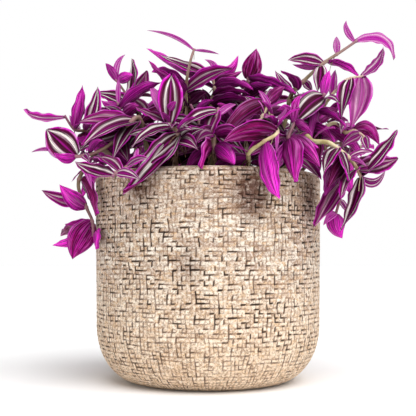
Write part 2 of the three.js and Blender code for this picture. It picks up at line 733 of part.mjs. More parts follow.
function soilSolid(stems) {
  const edge = POT_RADIUS - WALL - SOIL_GAP;
  const corner = INNER_CORNER;
  const bottom = FLOOR + SOIL_GAP;
  let soil = turned([
    new THREE.Vector2(0, bottom),
    ...arc(edge - corner, bottom + corner, corner, corner, -Math.PI / 2, 0, 3),
    new THREE.Vector2(edge, SOIL_TOP - 2),
    new THREE.Vector2(edge - 3, SOIL_TOP),
    new THREE.Vector2(0, SOIL_TOP),
  ], SOIL_SIDES);
  for (const { foot, radius } of stems) {
    const wide = radius + HOLE_GAP;
    const hole = new THREE.CylinderGeometry(wide, wide, 2 * HOLE_DEPTH, HOLE_SIDES);
    hole.rotateX(Math.PI / 2);
    hole.translate(foot[0], foot[1], SOIL_TOP);
    soil = soil.subtract(solidOf(hole));
  }
  return soil;
}

const stems = allStems();
placeLeaves(stems);

const plant = new THREE.Group();
plant.add(meshOf("pot", potSolid(), COLOURS.pot, 0.9));
plant.add(meshOf("soil", soilSolid(stems), COLOURS.soil, 1));
for (const stem of stems) {
  plant.add(meshOf(`stem_${stem.name}`, leafyStem(stem), COLOURS.foliage, 0.5));
}

export default plant;
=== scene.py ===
"""Potted tradescantia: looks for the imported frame, in metres, +Z up, front towards -Y."""

import math

import bpy
import numpy as np
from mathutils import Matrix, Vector
from mathutils.bvhtree import BVHTree
from mathutils.kdtree import KDTree


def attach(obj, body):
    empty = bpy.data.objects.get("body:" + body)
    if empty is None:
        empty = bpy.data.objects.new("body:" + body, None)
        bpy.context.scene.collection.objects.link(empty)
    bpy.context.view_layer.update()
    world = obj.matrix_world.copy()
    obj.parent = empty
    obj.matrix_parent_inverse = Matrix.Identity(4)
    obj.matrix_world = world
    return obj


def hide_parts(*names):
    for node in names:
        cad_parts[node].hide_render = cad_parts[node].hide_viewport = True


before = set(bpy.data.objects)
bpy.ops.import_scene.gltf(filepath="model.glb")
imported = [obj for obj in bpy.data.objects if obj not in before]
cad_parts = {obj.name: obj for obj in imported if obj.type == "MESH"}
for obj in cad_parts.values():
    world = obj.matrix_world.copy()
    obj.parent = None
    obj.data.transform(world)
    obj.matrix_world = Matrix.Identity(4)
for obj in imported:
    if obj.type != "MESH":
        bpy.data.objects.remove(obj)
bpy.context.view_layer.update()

MM = 0.001

# Pot, in millimetres
POT_RADIUS = 90
POT_HEIGHT = 163
POT_TAPER = 1.4
POT_CORNER_OUT = 33
POT_CORNER_UP = 45
WALL = 12
FLOOR = 14
LIP = WALL / 2
INNER_CORNER = 26

# Soil
SOIL_TOP = 148
SOIL_GAP = 0.4
HOLE_DEPTH = 8

# Stems and leaves, placed as in the part's source
STEM_STEPS = 2
CLOSE_ROUTE = 5
STEM_END = 0.55
FOOT_RISE = 24
COLLAR_RISE = 2
ROOT_SINK = 0.15
FOLD = 0.3
WIDEST_AT = 0.36
CLASP = 0.2
ARCH = 0.09
TIP_FULLNESS = 0.95
SLENDER = 0.4
FULLNESS = 1.12
BROADEST = 19
EYE_BACK = 700
EYE_HEIGHT = 100
EYE_TILT = 0.053
SIGHT = 869
VIEW_MIDDLE = 207.6
CLEARANCE = 5.2
OWN_CLEARANCE = 2.6
POT_CLEARANCE = 2.2
STEM_CLEARANCE = 3.2
LONGEST_LEAF = 68
SHIFTS = [0, 4, -4, 8, -8, 12, -12, 17, -17, 23, -23, 30, -30, 38, -38]
STEM_PROBES = 8
PROBE_ALONG = [0.24, 0.38, 0.52, 0.66, 0.8, 0.97]
PROBE_ACROSS = [-0.75, 0, 0.75]

TOP = "top"
UNDER = "under"
YOUNG = "young"

# Each stem: name, radius at its foot, foot [x, y], route [u, v, y] and leaves
# [place on the route, tip u, tip v, tip y, width seen in steps of u, side seen, bend [u, v]].
FRONT_STEMS = [
  ["left_far", 1.7, [-60, 12], [[108, 140, 8], [86, 131, 6], [74, 129, 0], [64, 115, -4]], [
    [4, 23, 109, -4, 8, TOP, [-5, 6]],
    [3, 82, 84, -2, 12, UNDER, [2, 0]],
    [3, 69, 115, 12, 4, YOUNG],
    [2, 97, 86, 14, 14, TOP, [3, 0]],
    [1.6, 106, 108, 24, 11, UNDER],
    [2, 82, 152, -10, 14, UNDER],
  ]],
  ["left_low", 1.9, [-46, -14], [[140, 119, -24], [118, 138, -32], [98, 151, -36], [76, 156, -36],
    [52, 149, -30]], [
    [1.1, 80, 147, -52, 14, TOP],
    [1.5, 78, 151, -26, 17, TOP],
    [4, 46, 129, -34, 30, TOP, [-2, -2]],
    [4, 53, 152, -50, 10, UNDER, [0, 4]],
    [3.7, 90, 163, -46, 8, TOP],
    [5, 31, 152, -26, 4, YOUNG],
    [1.1, 112, 160, -44, 14, TOP],
    [2, 128, 162, -64, 14, TOP],
  ]],
  ["left_rim", 1.9, [-52, -44], [[152, 154, -58], [134, 163, -76], [119, 171, -90], [112, 176, -94]], [
    [4, 74, 161, -72, 14, TOP, [0, 3]],
    [3, 93, 158, -62, 9, TOP],
    [2, 138, 148, -70, 5, YOUNG],
    [2.5, 148, 158, -96, 8, TOP],
    [3.4, 140, 180, -102, 10, TOP],
  ]],
  ["front_left", 2.1, [-24, -50], [[175, 152, -64], [178, 134, -76], [169, 124, -60], [160, 110, -44]], [
    [2, 132, 174, -100, 18, TOP, [3, -3]],
    [2, 122, 195, -106, 16, TOP, [6, 1]],
    [1, 203, 129, -84, 12, TOP, [-2, -6]],
    [2.7, 131, 148, -72, 10, TOP, [-3, -5]],
    [3, 134, 106, -40, 8, TOP, [0, 1]],
    [3, 171, 75, -36, 24, TOP],
    [4, 150, 88, -30, 9, YOUNG],
    [1, 148, 160, -92, 14, UNDER],
    [1.5, 198, 150, -98, 14, TOP],
  ]],
  ["left_mid", 1.6, [-36, -2], [[142, 136, -10], [124, 119, -10], [117, 102, -8]], [
    [2, 153, 128, -38, 7, TOP],
    [3, 118, 78, -8, 5, YOUNG],
    [3, 101, 100, -14, 9, UNDER, [0, 3]],
    [2, 104, 106, -22, 9, TOP],
    [2.6, 161, 82, -6, 12, UNDER],
    [1.5, 106, 134, -14, 13, UNDER],
    [1, 126, 150, -30, 15, TOP],
    [2.2, 138, 106, -18, 12, UNDER],
  ]],
  ["left_back", 1.5, [-30, 32], [[146, 126, 30], [126, 94, 30], [115, 79, 28]], [
    [3, 125, 54, 30, 6, YOUNG, [-4, -3]],
    [3, 105, 63, 26, 8, UNDER],
    [3, 132, 75, 18, 11, UNDER, [0, -1]],
    [1.8, 131, 58, 44, 10, TOP, [3, -1]],
    [1.8, 146, 70, 36, 14, TOP, [3, 0]],
    [2, 101, 98, 34, 8, UNDER, [0, 1]],
    [1, 160, 96, 34, 14, UNDER],
  ]],
  ["top_left", 1.7, [-16, 8], [[186, 122, 6], [186, 84, -4], [190, 61, -13], [194, 48, -15]], [
    [4, 146, 30, -14, 4, YOUNG, [3, -4]],
    [4, 219, 54, -16, 3, YOUNG, [1, -1]],
    [2, 151, 72, 10, 9, UNDER, [-2, -4]],
    [1.6, 171, 77, -20, 11, UNDER],
    [1.8, 148, 60, -12, 8, UNDER, [-4, 3]],
    [1.4, 206, 92, -16, 12, UNDER],
    [1, 158, 118, -12, 14, TOP],
    [1, 200, 120, -20, 14, UNDER],
    [1.3, 164, 95, -18, 13, TOP],
  ]],
  ["top_mid", 1.9, [2, 14], [[211, 122, 8], [211, 104, 0], [214, 88, -5], [211, 74, -6]], [
    [4, 158, 54, 10, 10, TOP, [0, 1]],
    [3, 146, 48, 34, 8, UNDER, [-1, 3]],
    [4, 204, 59, -6, 7, YOUNG, [6, -2]],
    [4, 238, 55, 2, 12, UNDER, [6, 6]],
    [3.6, 242, 71, 2, 10, UNDER, [0, 4]],
    [3, 253, 90, -12, 10, UNDER, [-2, -5]],
    [2.4, 250, 94, -24, 9, UNDER, [0, -4]],
    [1.6, 255, 104, -34, 10, UNDER],
    [1.3, 236, 116, -28, 14, UNDER],
    [1.2, 202, 88, -10, 12, TOP],
  ]],
  ["top_bright", 1.8, [20, -2], [[240, 118, 4], [244, 92, 2], [248, 77, 0]], [
    [3, 256, 48, -2, 19, UNDER, [1, 0]],
    [3, 296, 94, -16, 10, UNDER, [0, -1]],
    [2.4, 236, 84, 6, 9, UNDER],
    [2, 272, 82, 14, 10, TOP],
    [1.3, 220, 84, 16, 12, TOP],
    [1, 266, 120, 22, 14, UNDER],
    [1.6, 272, 85, -20, 13, UNDER],
  ]],
  ["centre_front", 2.0, [2, -52], [[213, 150, -66], [214, 128, -64], [218, 108, -54]], [
    [3, 176, 131, -72, 11, TOP],
    [3, 204, 150, -88, 14, TOP],
    [2, 187, 150, -84, 13, UNDER],
    [2.6, 236, 104, -50, 7, YOUNG],
    [1, 202, 169, -100, 9, UNDER],
    [1.2, 234, 164, -92, 18, UNDER],
    [1, 184, 175, -98, 13, UNDER, [0, -7]],
    [1.6, 242, 134, -88, 13, UNDER],
    [1.5, 190, 130, -80, 13, TOP],
  ]],
  ["centre_bright", 1.9, [30, -30], [[247, 138, -40], [262, 116, -40], [269, 101, -38]], [
    [3, 218, 144, -74, 22, UNDER],
    [2, 292, 112, -34, 11, UNDER],
    [1, 228, 118, -32, 12, TOP],
    [3, 285, 86, -30, 12, UNDER],
    [1.4, 276, 140, -48, 12, TOP],
    [1, 262, 148, -62, 14, UNDER],
    [2, 244, 96, -38, 12, TOP],
  ]],
  ["pale_loop", 1.8, [26, -56], [[248, 162, -68], [249, 152, -80], [264, 141, -92], [277, 132, -88],
    [273, 121, -76], [270, 108, -68]], [
    [4, 222, 142, -100, 20, UNDER],
    [4, 276, 154, -94, 4, YOUNG],
    [3, 279, 199, -112, 20, UNDER, [-5, 2]],
    [6, 258, 90, -62, 6, YOUNG],
    [5, 285, 106, -80, 4, YOUNG, [4, 0]],
  ]],
  ["front_right", 2.0, [44, -46], [[284, 149, -56], [290, 146, -72], [288, 137, -80], [295, 121, -74]], [
    [3, 294, 182, -108, 21, UNDER],
    [3, 320, 167, -100, 18, UNDER],
    [2, 272, 179, -98, 10, UNDER],
    [4, 300, 95, -66, 9, UNDER],
    [4, 312, 134, -92, 9, UNDER],
    [2, 318, 148, -96, 13, UNDER],
    [4, 276, 110, -78, 10, UNDER],
  ]],
  ["right_mid", 1.9, [52, -20], [[311, 132, -34], [317, 112, -38], [324, 93, -36]], [
    [3, 288, 132, -62, 22, TOP],
    [2.4, 311, 142, -64, 10, UNDER],
    [2, 346, 127, -54, 7, UNDER],
    [1.4, 338, 110, -26, 14, UNDER],
    [1, 296, 112, -14, 14, UNDER],
    [1, 334, 142, -50, 12, UNDER],
    [1, 316, 175, -72, 13, UNDER, [0, -6]],
    [2, 302, 92, -30, 12, TOP],
    [3, 329, 70, -34, 10, UNDER],
  ]],
  ["right_top", 1.9, [42, 12], [[284, 124, 12], [290, 96, 8], [303, 81, 4], [318, 67, 0], [330, 58, -2],
    [341, 51, -4], [357, 40, -6]], [
    [4.4, 287, 60, 0, 12, TOP, [0, -3]],
    [3, 312, 92, 6, 8, TOP],
    [4.6, 358, 77, 10, 8, UNDER, [2, -2]],
    [4.2, 292, 64, 12, 6, YOUNG, [0, 2]],
    [2.2, 275, 70, 4, 8, TOP, [-1, 1]],
    [2.4, 280, 70, -12, 9, UNDER, [6, -1]],
    [4.2, 317, 92, -16, 13, TOP, [1, 0]],
    [5.6, 336, 36, -4, 7, YOUNG],
    [7, 346, 20, -6, 6, YOUNG, [-4, -1]],
    [7, 393, 60, -8, 10, TOP, [8, -10]],
  ]],
  ["right_arch", 1.7, [54, 8], [[318, 114, -14], [330, 97, -22], [341, 83, -26], [350, 78, -28],
    [363, 76, -28]], [
    [5, 383, 46, -26, 10, TOP, [5, 3]],
    [5, 350, 129, -46, 22, TOP, [4, 0]],
    [4, 341, 120, -40, 16, TOP],
    [1.4, 300, 98, -20, 10, UNDER],
    [2.1, 335, 69, -30, 8, YOUNG],
  ]],
  ["right_low", 2.2, [56, -34], [[300, 137, -48], [313, 141, -64], [327, 142, -70], [337, 148, -72],
    [349, 158, -70], [357, 169, -66], [361, 178, -64]], [
    [7, 339, 231, -78, 13, TOP, [6, -2]],
    [7, 397, 129, -52, 14, TOP, [3, 1]],
    [7, 385, 170, -70, 9, TOP, [1, 9]],
    [6, 398, 158, -40, 18, TOP, [0, 2]],
    [6, 340, 200, -92, 11, TOP],
    [5, 374, 152, -66, 6, TOP],
    [5, 366, 166, -84, 5, YOUNG],
    [4, 350, 182, -88, 8, TOP],
    [4, 323, 173, -98, 13, TOP],
    [5, 328, 188, -90, 14, UNDER],
  ]],
  ["right_branch", 1.6, [48, -6], [[326, 126, -28], [345, 132, -38], [354, 130, -38], [365, 137, -38]], [
    [3, 379, 145, -30, 15, UNDER, [2, -8]],
    [4, 368, 153, -44, 9, TOP],
    [3.6, 340, 148, -54, 11, TOP],
    [3, 375, 126, -18, 5, YOUNG, [0, -3]],
    [2, 337, 112, -44, 5, YOUNG],
    [1, 361, 157, -28, 14, UNDER],
  ]],
  ["right_trail", 1.9, [64, -14], [[312, 142, -30], [327, 151, -44], [338, 166, -50], [342, 182, -50],
    [339, 200, -50], [335, 215, -50]], [
    [4, 313, 227, -76, 17, TOP, [2, 1]],
    [6, 342, 238, -54, 18, UNDER, [-3, 0]],
    [6, 323, 225, -66, 8, YOUNG],
    [5, 348, 214, -44, 6, TOP],
    [3, 352, 196, -34, 16, UNDER],
    [3, 324, 196, -72, 16, UNDER],
    [2.5, 354, 176, -20, 14, UNDER],
    [4, 324, 178, -72, 14, UNDER],
  ]],
  ["inner_mid", 1.8, [-4, -22], [[204, 140, -28], [198, 120, -26], [190, 104, -24]], []],
  ["inner_front", 1.8, [16, -28], [[228, 142, -32], [232, 124, -32], [240, 108, -28]], []],
  ["left_trail", 1.9, [-60, -12], [[104, 150, -20], [84, 169, -26], [78, 186, -30], [86, 207, -30],
    [92, 221, -30], [93, 236, -30]], [
    [3.7, 41, 190, -24, 14, TOP, [1, 5]],
    [4, 59, 184, -42, 17, UNDER, [0, 3]],
    [5, 72, 259, -38, 26, UNDER, [-3, 0]],
    [5, 64, 224, -24, 9, UNDER, [0, 2]],
    [5.3, 60, 236, -20, 9, UNDER, [0, 0]],
    [5.6, 52, 245, -18, 12, UNDER, [0, 6]],
    [2.6, 95, 216, -52, 10, UNDER],
    [2, 92, 190, -52, 6, YOUNG],
    [6, 95, 249, -24, 7, UNDER],
  ]],
]

# The stems at the sides and back, which the view hides: azimuth in degrees from +X over the back,
# foot radius, reach, height of the crest and height of the end. All are equally thick.
BACK_STEMS = [
  ["back_right_low", 2, 66, 124, 190, 172],
  ["back_right", 18, 50, 126, 214, 196],
  ["back_right_trail", 42, 60, 114, 190, 134],
  ["back_mid_right", 60, 44, 112, 222, 214],
  ["back_trail", 86, 62, 124, 190, 122],
  ["back_left", 114, 56, 124, 214, 188],
  ["back_left_high", 146, 44, 122, 212, 204],
  ["back_left_trail", 163, 60, 104, 192, 162],
  ["crown_right", 40, 22, 66, 226, 234],
  ["crown_left", 132, 24, 66, 226, 238],
]
BACK_RADIUS = 1.8
BACK_SWAY = 0.2
BACK_END_SWAY = 1.5
BACK_FIRST = (-4, 14)
BACK_CREST_OUT = 14
BACK_LEAVES = 5
BACK_LEAF_LENGTH = 40
BACK_LEAF_WIDTH = 17
SEED = 1

# Leaves of a back stem from its first to its last: how far they turn aside and how steeply they
# rise, each at the first leaf, less at the last and with a drawn spread, how they droop, more so
# on a trail whose end lies below its crest, and their size.
BACK_ASIDE = (1.35, 0.9, 0.4)
BACK_RISE = (0.35, 0.75, 0.5)
BACK_DROOP = 0.3
TRAIL_DROOP = 1.4
TRAIL_DROP = 20
BACK_SIZE = (0.82, 0.3)
BACK_SHRINK = 0.12

# The leaves that fill each front stem's lower part, turned to the front. Here and below, a pair
# is a drawn number: its start, and how much the draw adds to it at most.
FILL_PLACES = [0.6, 0.95, 1.35, 1.8]
FILL_END = 0.6
FILL_RISE = (0.5, -1.5)
FILL_LEAN = (0.25, -0.6)
FILL_SIZE = (0.8, 0.4)
FILL_LENGTH = 36
FILL_WIDTH = 15
FILL_SEEN = 0.85
FILL_REACH = 110

# Finer blades, in rows along by columns across. The wave and the pleat of a blade are in
# millimetres, and its curl is a share of its width.
BLADE_GRID = (22, 12)
SMALL_GRID = (12, 6)
BLADE_THICKNESS = 0.4
BLADE_CLASP = 0.34
BLADE_SEED = 42
WAVE = 0.8
WAVE_TURNS = (2.2, 1.6)
WAVE_SHIFT = 1.4
PLEAT = 0.22
CURL = 0.3
CURL_WAY = (-0.35, 1.0)
BLADE_START = 1 / 6
BLADE_END = 1 / 4
STEM_SIDES = 10
STEM_RINGS_PER_SPAN = 10
NODE_SWELL = 0.32
NODE_LENGTH = 0.09
SUNK_PLACE = -0.2

# Small leaves close to the stems, where their neighbours leave room: tries and most on a stem,
# how far from its ends, how long, steep, arched and wide, how far from other leaves, from the
# pot's wall inside and out and above its rim, and how far out, how high and how low behind the
# pot they reach.
SMALL_SEED = 7
SMALL_TRIES = 60
SMALL_MOST = 8
SMALL_END = 0.3
SMALL_LENGTH = (12, 15)
SMALL_RISE = (-0.4, 1.1)
SMALL_ARCH = (0.05, 0.15)
SMALL_WIDTH = (0.34, 0.12)
SMALL_ROLL = 1.4
SMALL_UP = 0.7
SMALL_CLEAR = 2.2
SMALL_INSIDE = 18
SMALL_OUTSIDE = 3
SMALL_ABOVE = 4
SMALL_REACH = 118
SMALL_REACH_BACK = 132
SMALL_HEIGHT = 236
SMALL_LOWEST = 75

# Dried sheaths at old joints deep in the plant, and thin roots at some joints: threads that
# turn downwards, coloured like the middle of a stem's length
THREAD_SEED = 131
SHEATHS = 4
SHEATH_REACH = 82
SHEATH_HEIGHT = 235
SHEATH_LENGTH = (6, 8)
SHEATH_RISE = (-0.9, 0.9)
SHEATH_TURN = 1.6
SHEATH_WIDTH = (0.5, 0.5)
SHEATH_THICKNESS = 0.12
ROOT_SHARE = 0.3
ROOT_LENGTH = (7, 9)
ROOT_RISE = -0.6
ROOT_TURN = 1.8
ROOT_THICKNESS = 0.32
THREAD_STEPS = 5
THREAD_ASIDE = [0.31, 0.17, 0.93]
THREAD_FIELD = [0.5, 0.0, 0.0]

# Painted shade: leaves closed in by their neighbours are painted darker: where that is measured on a
# leaf, in how many ways, from how far off the leaf and how far, and between which shares of closed
# ways it sets in. A grid of a few rows stands for each leaf there, and a square for the soil. A leaf
# deep in the plant, by its reach and height, is painted dark too.
SHELTER_ALONG = [0.04, 0.28, 0.52, 0.76, 0.98]
SHELTER_ACROSS = [-0.75, 0.0, 0.75]
SHELTER_WAYS = 30
SHELTER_START = 2
SHELTER_REACH = 60
SHELTER_FROM = 0.36
SHELTER_FULL = 0.82
SHELTER_ROWS = 6
SHELTER_SOIL = 75
DEEP_REACH = 86
DEEP_REACH_FADE = 36
DEEP_HEIGHT = 215
DEEP_HEIGHT_FADE = 45

# How pale a stem's skin is, and how fresh and pink its end leaves, its young and its narrow ones.
PALE_STEMS = {
    "pale_loop": 1.0, "right_low": 0.9, "right_branch": 0.9, "right_arch": 0.85,
    "top_mid": 0.55, "centre_bright": 0.8, "top_left": 0.35, "right_top": 0.3,
}
PALE_ELSE = 0.12
FRESH_ENDS = {"right_top": 0.62, "left_back": 0.3, "right_arch": 0.3, "left_far": 0.2}
FRESH_SPANS = 0.5
FRESH_YOUNG = 0.7
FRESH_NARROW = 0.5
FRESH_TO_WIDTH = 24

# Weave of the pot: the points of a cell on each side, the first one in the groove; how strong
# its faint lines and its low rows are, and how high its strands stand; over how many millimetres
# and rows it sets in at the foot and the rim; and the steps that its slope and profile take.
WEAVE_PITCH = 3.35
WEAVE_DEPTH = 0.8
WEAVE_COLUMNS = round(2 * math.pi * POT_RADIUS / WEAVE_PITCH)
WEAVE_SAMPLES = [0.0, 0.3, 0.7]
WEAVE_SEED = 7
WEAVE_FAINT = 0.34
WEAVE_LOW = 0.52
WEAVE_LIFT = 0.3
WEAVE_LEVEL = 0.6
FOOT_FADE = 6
RIM_FADE = 7
FOOT_ROWS = 4
RIM_ROWS = 3
SLOPE_STEP = 0.5
FOOT_STEPS = 60
WALL_STEPS = 30
LIP_STEPS = 12

# Grooves along the rows and upright ones: the share of weak ones, their spread and how much
# bolder they get. Then the part of the height that counts as low; how many cells a run shows,
# and how much less it is low down; how often one cell is hidden and not two; how weak a run's
# end is; how the bold patches lie; and how much stronger the upright grooves are low down, how
# often they stand two rows tall, and how weak they are in the second row.
ROW_OFFSET = 5
WEAK_GROOVE = 0.3
ROW_GROOVES = (0.32, 0.4, 0.32)
UPRIGHT_GROOVES = (0.34, 0.35, 0.25)
LOW_ROWS = 1 / 2.2
RUN_MORE = 2.5
RUN_LESS_LOW = 0.6
HIDE_ONE = 0.6
RUN_END = 0.6
BOLD_PATCHES = 3
BOLD_LEAN = 0.21
BOLD_SPREAD = 1.3
UPRIGHT_LOW = 0.1
TALL_SHARE = 0.2
TALL_SHARE_LOW = 0.5
TALL_FADE = 0.85

# Waves by which the rows wander up and down and the columns round: millimetres, times round,
# lean from row to row, and seed.
ROW_WAVES = [(0.9, 1, 0.11, 3), (0.2, 4, 0.9, 5)]
COLUMN_WAVES = [(1.2, 2, 0.09, 11), (0.2, 5, 0.5, 13)]

# Stains and painted shadows of the leaves below the rim: middle, reach and strength; each is taller than
# it is wide.
STAINS_AND_LEAF_SHADOWS = [
    ((31, -84, 145), 21, 1.0),
    ((77, -46, 143), 20, 0.8),
    ((-50, -75, 154), 20, 0.8),
    ((-14, -89, 92), 18, 0.4),
]
STAIN_AND_SHADOW_SQUEEZE = 0.72
STRAND_SQUEEZE = 1.9

# Loose soil
SOIL_SEED = 23
SOIL_RINGS = 34
SOIL_SPOKES = 96
SOIL_LUMPS = 420
LUMP_SIZE = (1.5, 3.5)
LUMP_HEIGHT = 1.6
LUMP_SINK = 1.2

# Studio light and camera
SUN_FROM = (0.34, -0.62, 1.05)
SUN_STRENGTH = 3.6
SUN_SOFTNESS = 1.15
SKY_BRIGHT_TO = 0.3
SKY_DIM_FROM = 0.5
SKY_DIM = 0.25
FLOOR_SIZE = 12
FLOOR_DROP = 0.0004
SENSOR = 36
PHOTO_WIDTH = 416


def mulberry(seed):
    state = seed & 0xFFFFFFFF

    def times(a, b):
        return (a * b) & 0xFFFFFFFF

    def draw():
        nonlocal state
        state = (state + 0x6D2B79F5) & 0xFFFFFFFF
        mixed = times(state ^ (state >> 15), state | 1)
        mixed ^= (mixed + times(mixed ^ (mixed >> 7), mixed | 61)) & 0xFFFFFFFF
        return (mixed ^ (mixed >> 14)) / 4294967296

    return draw


def drawn(draw, start, most):
    return start + most * draw()


def unit(vector):
    return vector / np.linalg.norm(vector)


def on_sight(u, v, y):
    """The point at depth y on the line of sight through (u, v)."""
    across = (u - VIEW_MIDDLE) / SIGHT
    up = (VIEW_MIDDLE - v) / SIGHT
    ahead = math.cos(EYE_TILT) - up * math.sin(EYE_TILT)
    rise = math.sin(EYE_TILT) + up * math.cos(EYE_TILT)
    reach = (y + EYE_BACK) / ahead
    return np.array([across * reach, y, EYE_HEIGHT + rise * reach])


EYE = np.array([0.0, -EYE_BACK, EYE_HEIGHT])


class StemPath:
    """A straight foot in the soil, then a smooth curve through the route."""

    def __init__(self, foot, route):
        self.base = np.array([foot[0], foot[1], SOIL_TOP - HOLE_DEPTH + SOIL_GAP])
        collar = np.array([foot[0], foot[1], SOIL_TOP + COLLAR_RISE])
        self.points = [collar, *route]
        self.spans = len(route)
        self.steps = STEM_STEPS if self.spans < CLOSE_ROUTE else 1
        self.before = route[0] - np.array([0, 0, 2 * FOOT_RISE])
        self.after = 2 * self.points[self.spans] - self.points[self.spans - 1]

    def at(self, place):
        span = min(math.floor(place), self.spans - 1)
        t = place - span
        p0 = self.points[span - 1] if span > 0 else self.before
        p3 = self.points[span + 2] if span + 2 <= self.spans else self.after
        weights = [
            (-t + 2 * t * t - t**3) / 2,
            (2 - 5 * t * t + 3 * t**3) / 2,
            (t + 4 * t * t - 3 * t**3) / 2,
            (-t * t + t**3) / 2,
        ]
        points = [p0, self.points[span], self.points[span + 1], p3]
        return sum(w * p for w, p in zip(weights, points))

    def anchor(self, place):
        """The middle of the faceted stem, between two of its rings."""
        rings = min(place, self.spans - ROOT_SINK) * self.steps
        ring = math.floor(rings)
        share = rings - ring
        near = self.at(ring / self.steps)
        far = self.at((ring + 1) / self.steps)
        return near + (far - near) * share


def outline(t, clasp=CLASP):
    """Width of a blade along its midrib, as a share of its widest."""
    t = np.asarray(t, float)
    short = np.clip((WIDEST_AT - t) / WIDEST_AT, 0, 1)
    late = np.clip((t - WIDEST_AT) / (1 - WIDEST_AT), 0, 1)
    fading = np.clip(np.cos(late * math.pi / 2), 0, 1) ** TIP_FULLNESS
    return np.where(t < WIDEST_AT, 1 - (1 - clasp) * short * short, fading)


def spots(along, across):
    """All places of a grid on a leaf: how far along and how far across each lies."""
    return np.repeat(along, len(across)), np.tile(across, len(along))


class Leaf:
    """A curved midrib, and two halves that fold up from it."""

    def __init__(self, base, tip, middle, width, top_normal, kind):
        self.base = base
        self.tip = tip
        self.control = 2 * middle - 0.5 * base - 0.5 * tip
        self.width = width
        self.kind = kind
        self.side = unit(np.cross(top_normal, unit(tip - base)))

    def surface(self, t, s, clasp=CLASP):
        t = np.atleast_1d(np.asarray(t, float))[:, None]
        s = np.atleast_1d(np.asarray(s, float))[:, None]
        along = (self.control - self.base) * (1 - t) + (self.tip - self.control) * t
        along /= np.linalg.norm(along, axis=1, keepdims=True)
        side = self.side - along * (along @ self.side)[:, None]
        side /= np.linalg.norm(side, axis=1, keepdims=True)
        normal = np.cross(along, side)
        half = self.width / 2 * outline(t, clasp)
        place = (1 - t) ** 2 * self.base + 2 * t * (1 - t) * self.control + t * t * self.tip
        place = place + side * (s * half * math.cos(FOLD))
        place = place + normal * (np.abs(s) * half * math.sin(FOLD))
        return place, normal

    def probes(self):
        return self.surface(*spots(PROBE_ALONG, PROBE_ACROSS))[0]


def top_normal_of(base, tip, seen_width, width, kind):
    """Which way a leaf's top looks, from the side that is seen and how wide it is seen."""
    along = unit(tip - base)
    facing = unit(EYE - (base + tip) / 2)
    facing = unit(facing - along * facing.dot(along))
    if kind == UNDER:
        facing = -facing
    level = np.cross(along, facing)
    share = min(1, seen_width / width)
    tilt = math.sqrt(1 - share * share) * (-1 if level[2] < 0 else 1)
    return facing * share + level * tilt


def front_leaf(base, row, shift):
    _, u, v, y, seen, kind, *bend = row
    tip = on_sight(u, v, y + shift)
    middle = (base + tip) / 2
    length = np.linalg.norm(tip - base)
    middle[2] += ARCH * length
    if bend:
        step = (middle[1] + EYE_BACK) / SIGHT
        middle[0] += bend[0][0] * step
        middle[2] -= bend[0][1] * step + ARCH * length
    seen_width = FULLNESS * seen * (middle[1] + EYE_BACK) / SIGHT
    slender = 0 if kind == YOUNG else SLENDER * length
    width = min(max(seen_width, slender), max(BROADEST, seen_width))
    normal = top_normal_of(base, tip, seen_width, width, kind)
    return Leaf(base, tip, middle, width, normal, kind)


def back_leaf(base, row, shift):
    _, heading, rise, length, width = row
    turned = heading + shift / BACK_LEAF_LENGTH
    flat = math.cos(rise)
    along = np.array([flat * math.cos(turned), flat * math.sin(turned), math.sin(rise)])
    tip = base + along * length
    middle = (base + tip) / 2
    middle[2] += ARCH * length
    up = np.array([0.0, 0.0, 1.0])
    up = unit(up - along * along[2])
    return Leaf(base, tip, middle, width, up, TOP)


def fill_leaf(base, row, shift):
    _, heading, rise, lean, length, width, kind = row
    tip = base + np.array([
        heading * math.cos(rise) * length,
        lean * length + shift,
        math.sin(rise) * length,
    ])
    middle = (base + tip) / 2
    middle[2] += ARCH * length
    normal = top_normal_of(base, tip, FILL_SEEN * width, width, kind)
    return Leaf(base, tip, middle, width, normal, kind)


def fill_rows(path, random):
    rows = []
    for i, place in enumerate(p for p in FILL_PLACES if p < path.spans - FILL_END):
        heading = 1 if i % 2 else -1
        rise = drawn(random, *FILL_RISE)
        lean = drawn(random, *FILL_LEAN)
        size = drawn(random, *FILL_SIZE)
        kind = TOP if random() < 0.5 else UNDER
        rows.append([place, heading, rise, lean, FILL_LENGTH * size, FILL_WIDTH * size, kind])
    return rows


def pot_distance(points):
    """How far points stand off the pot's wall and the soil."""
    radius = np.hypot(points[:, 0], points[:, 1])
    out = np.maximum(np.maximum(radius - POT_RADIUS, POT_RADIUS - WALL - radius), 0)
    above = np.maximum(points[:, 2] - POT_HEIGHT, 0)
    wall = np.hypot(out, above)
    soil = np.where(radius < POT_RADIUS, points[:, 2] - SOIL_TOP, wall)
    return np.minimum(wall, soil)


class Stem:
    """A stem, the rows that its leaves and its fill follow, and which function places them."""

    def __init__(self, name, radius, path, rows, place):
        self.name = name
        self.radius = radius
        self.path = path
        self.rows = rows
        self.place = place
        self.fill, self.leaves, self.joints, self.small = [], [], [], []


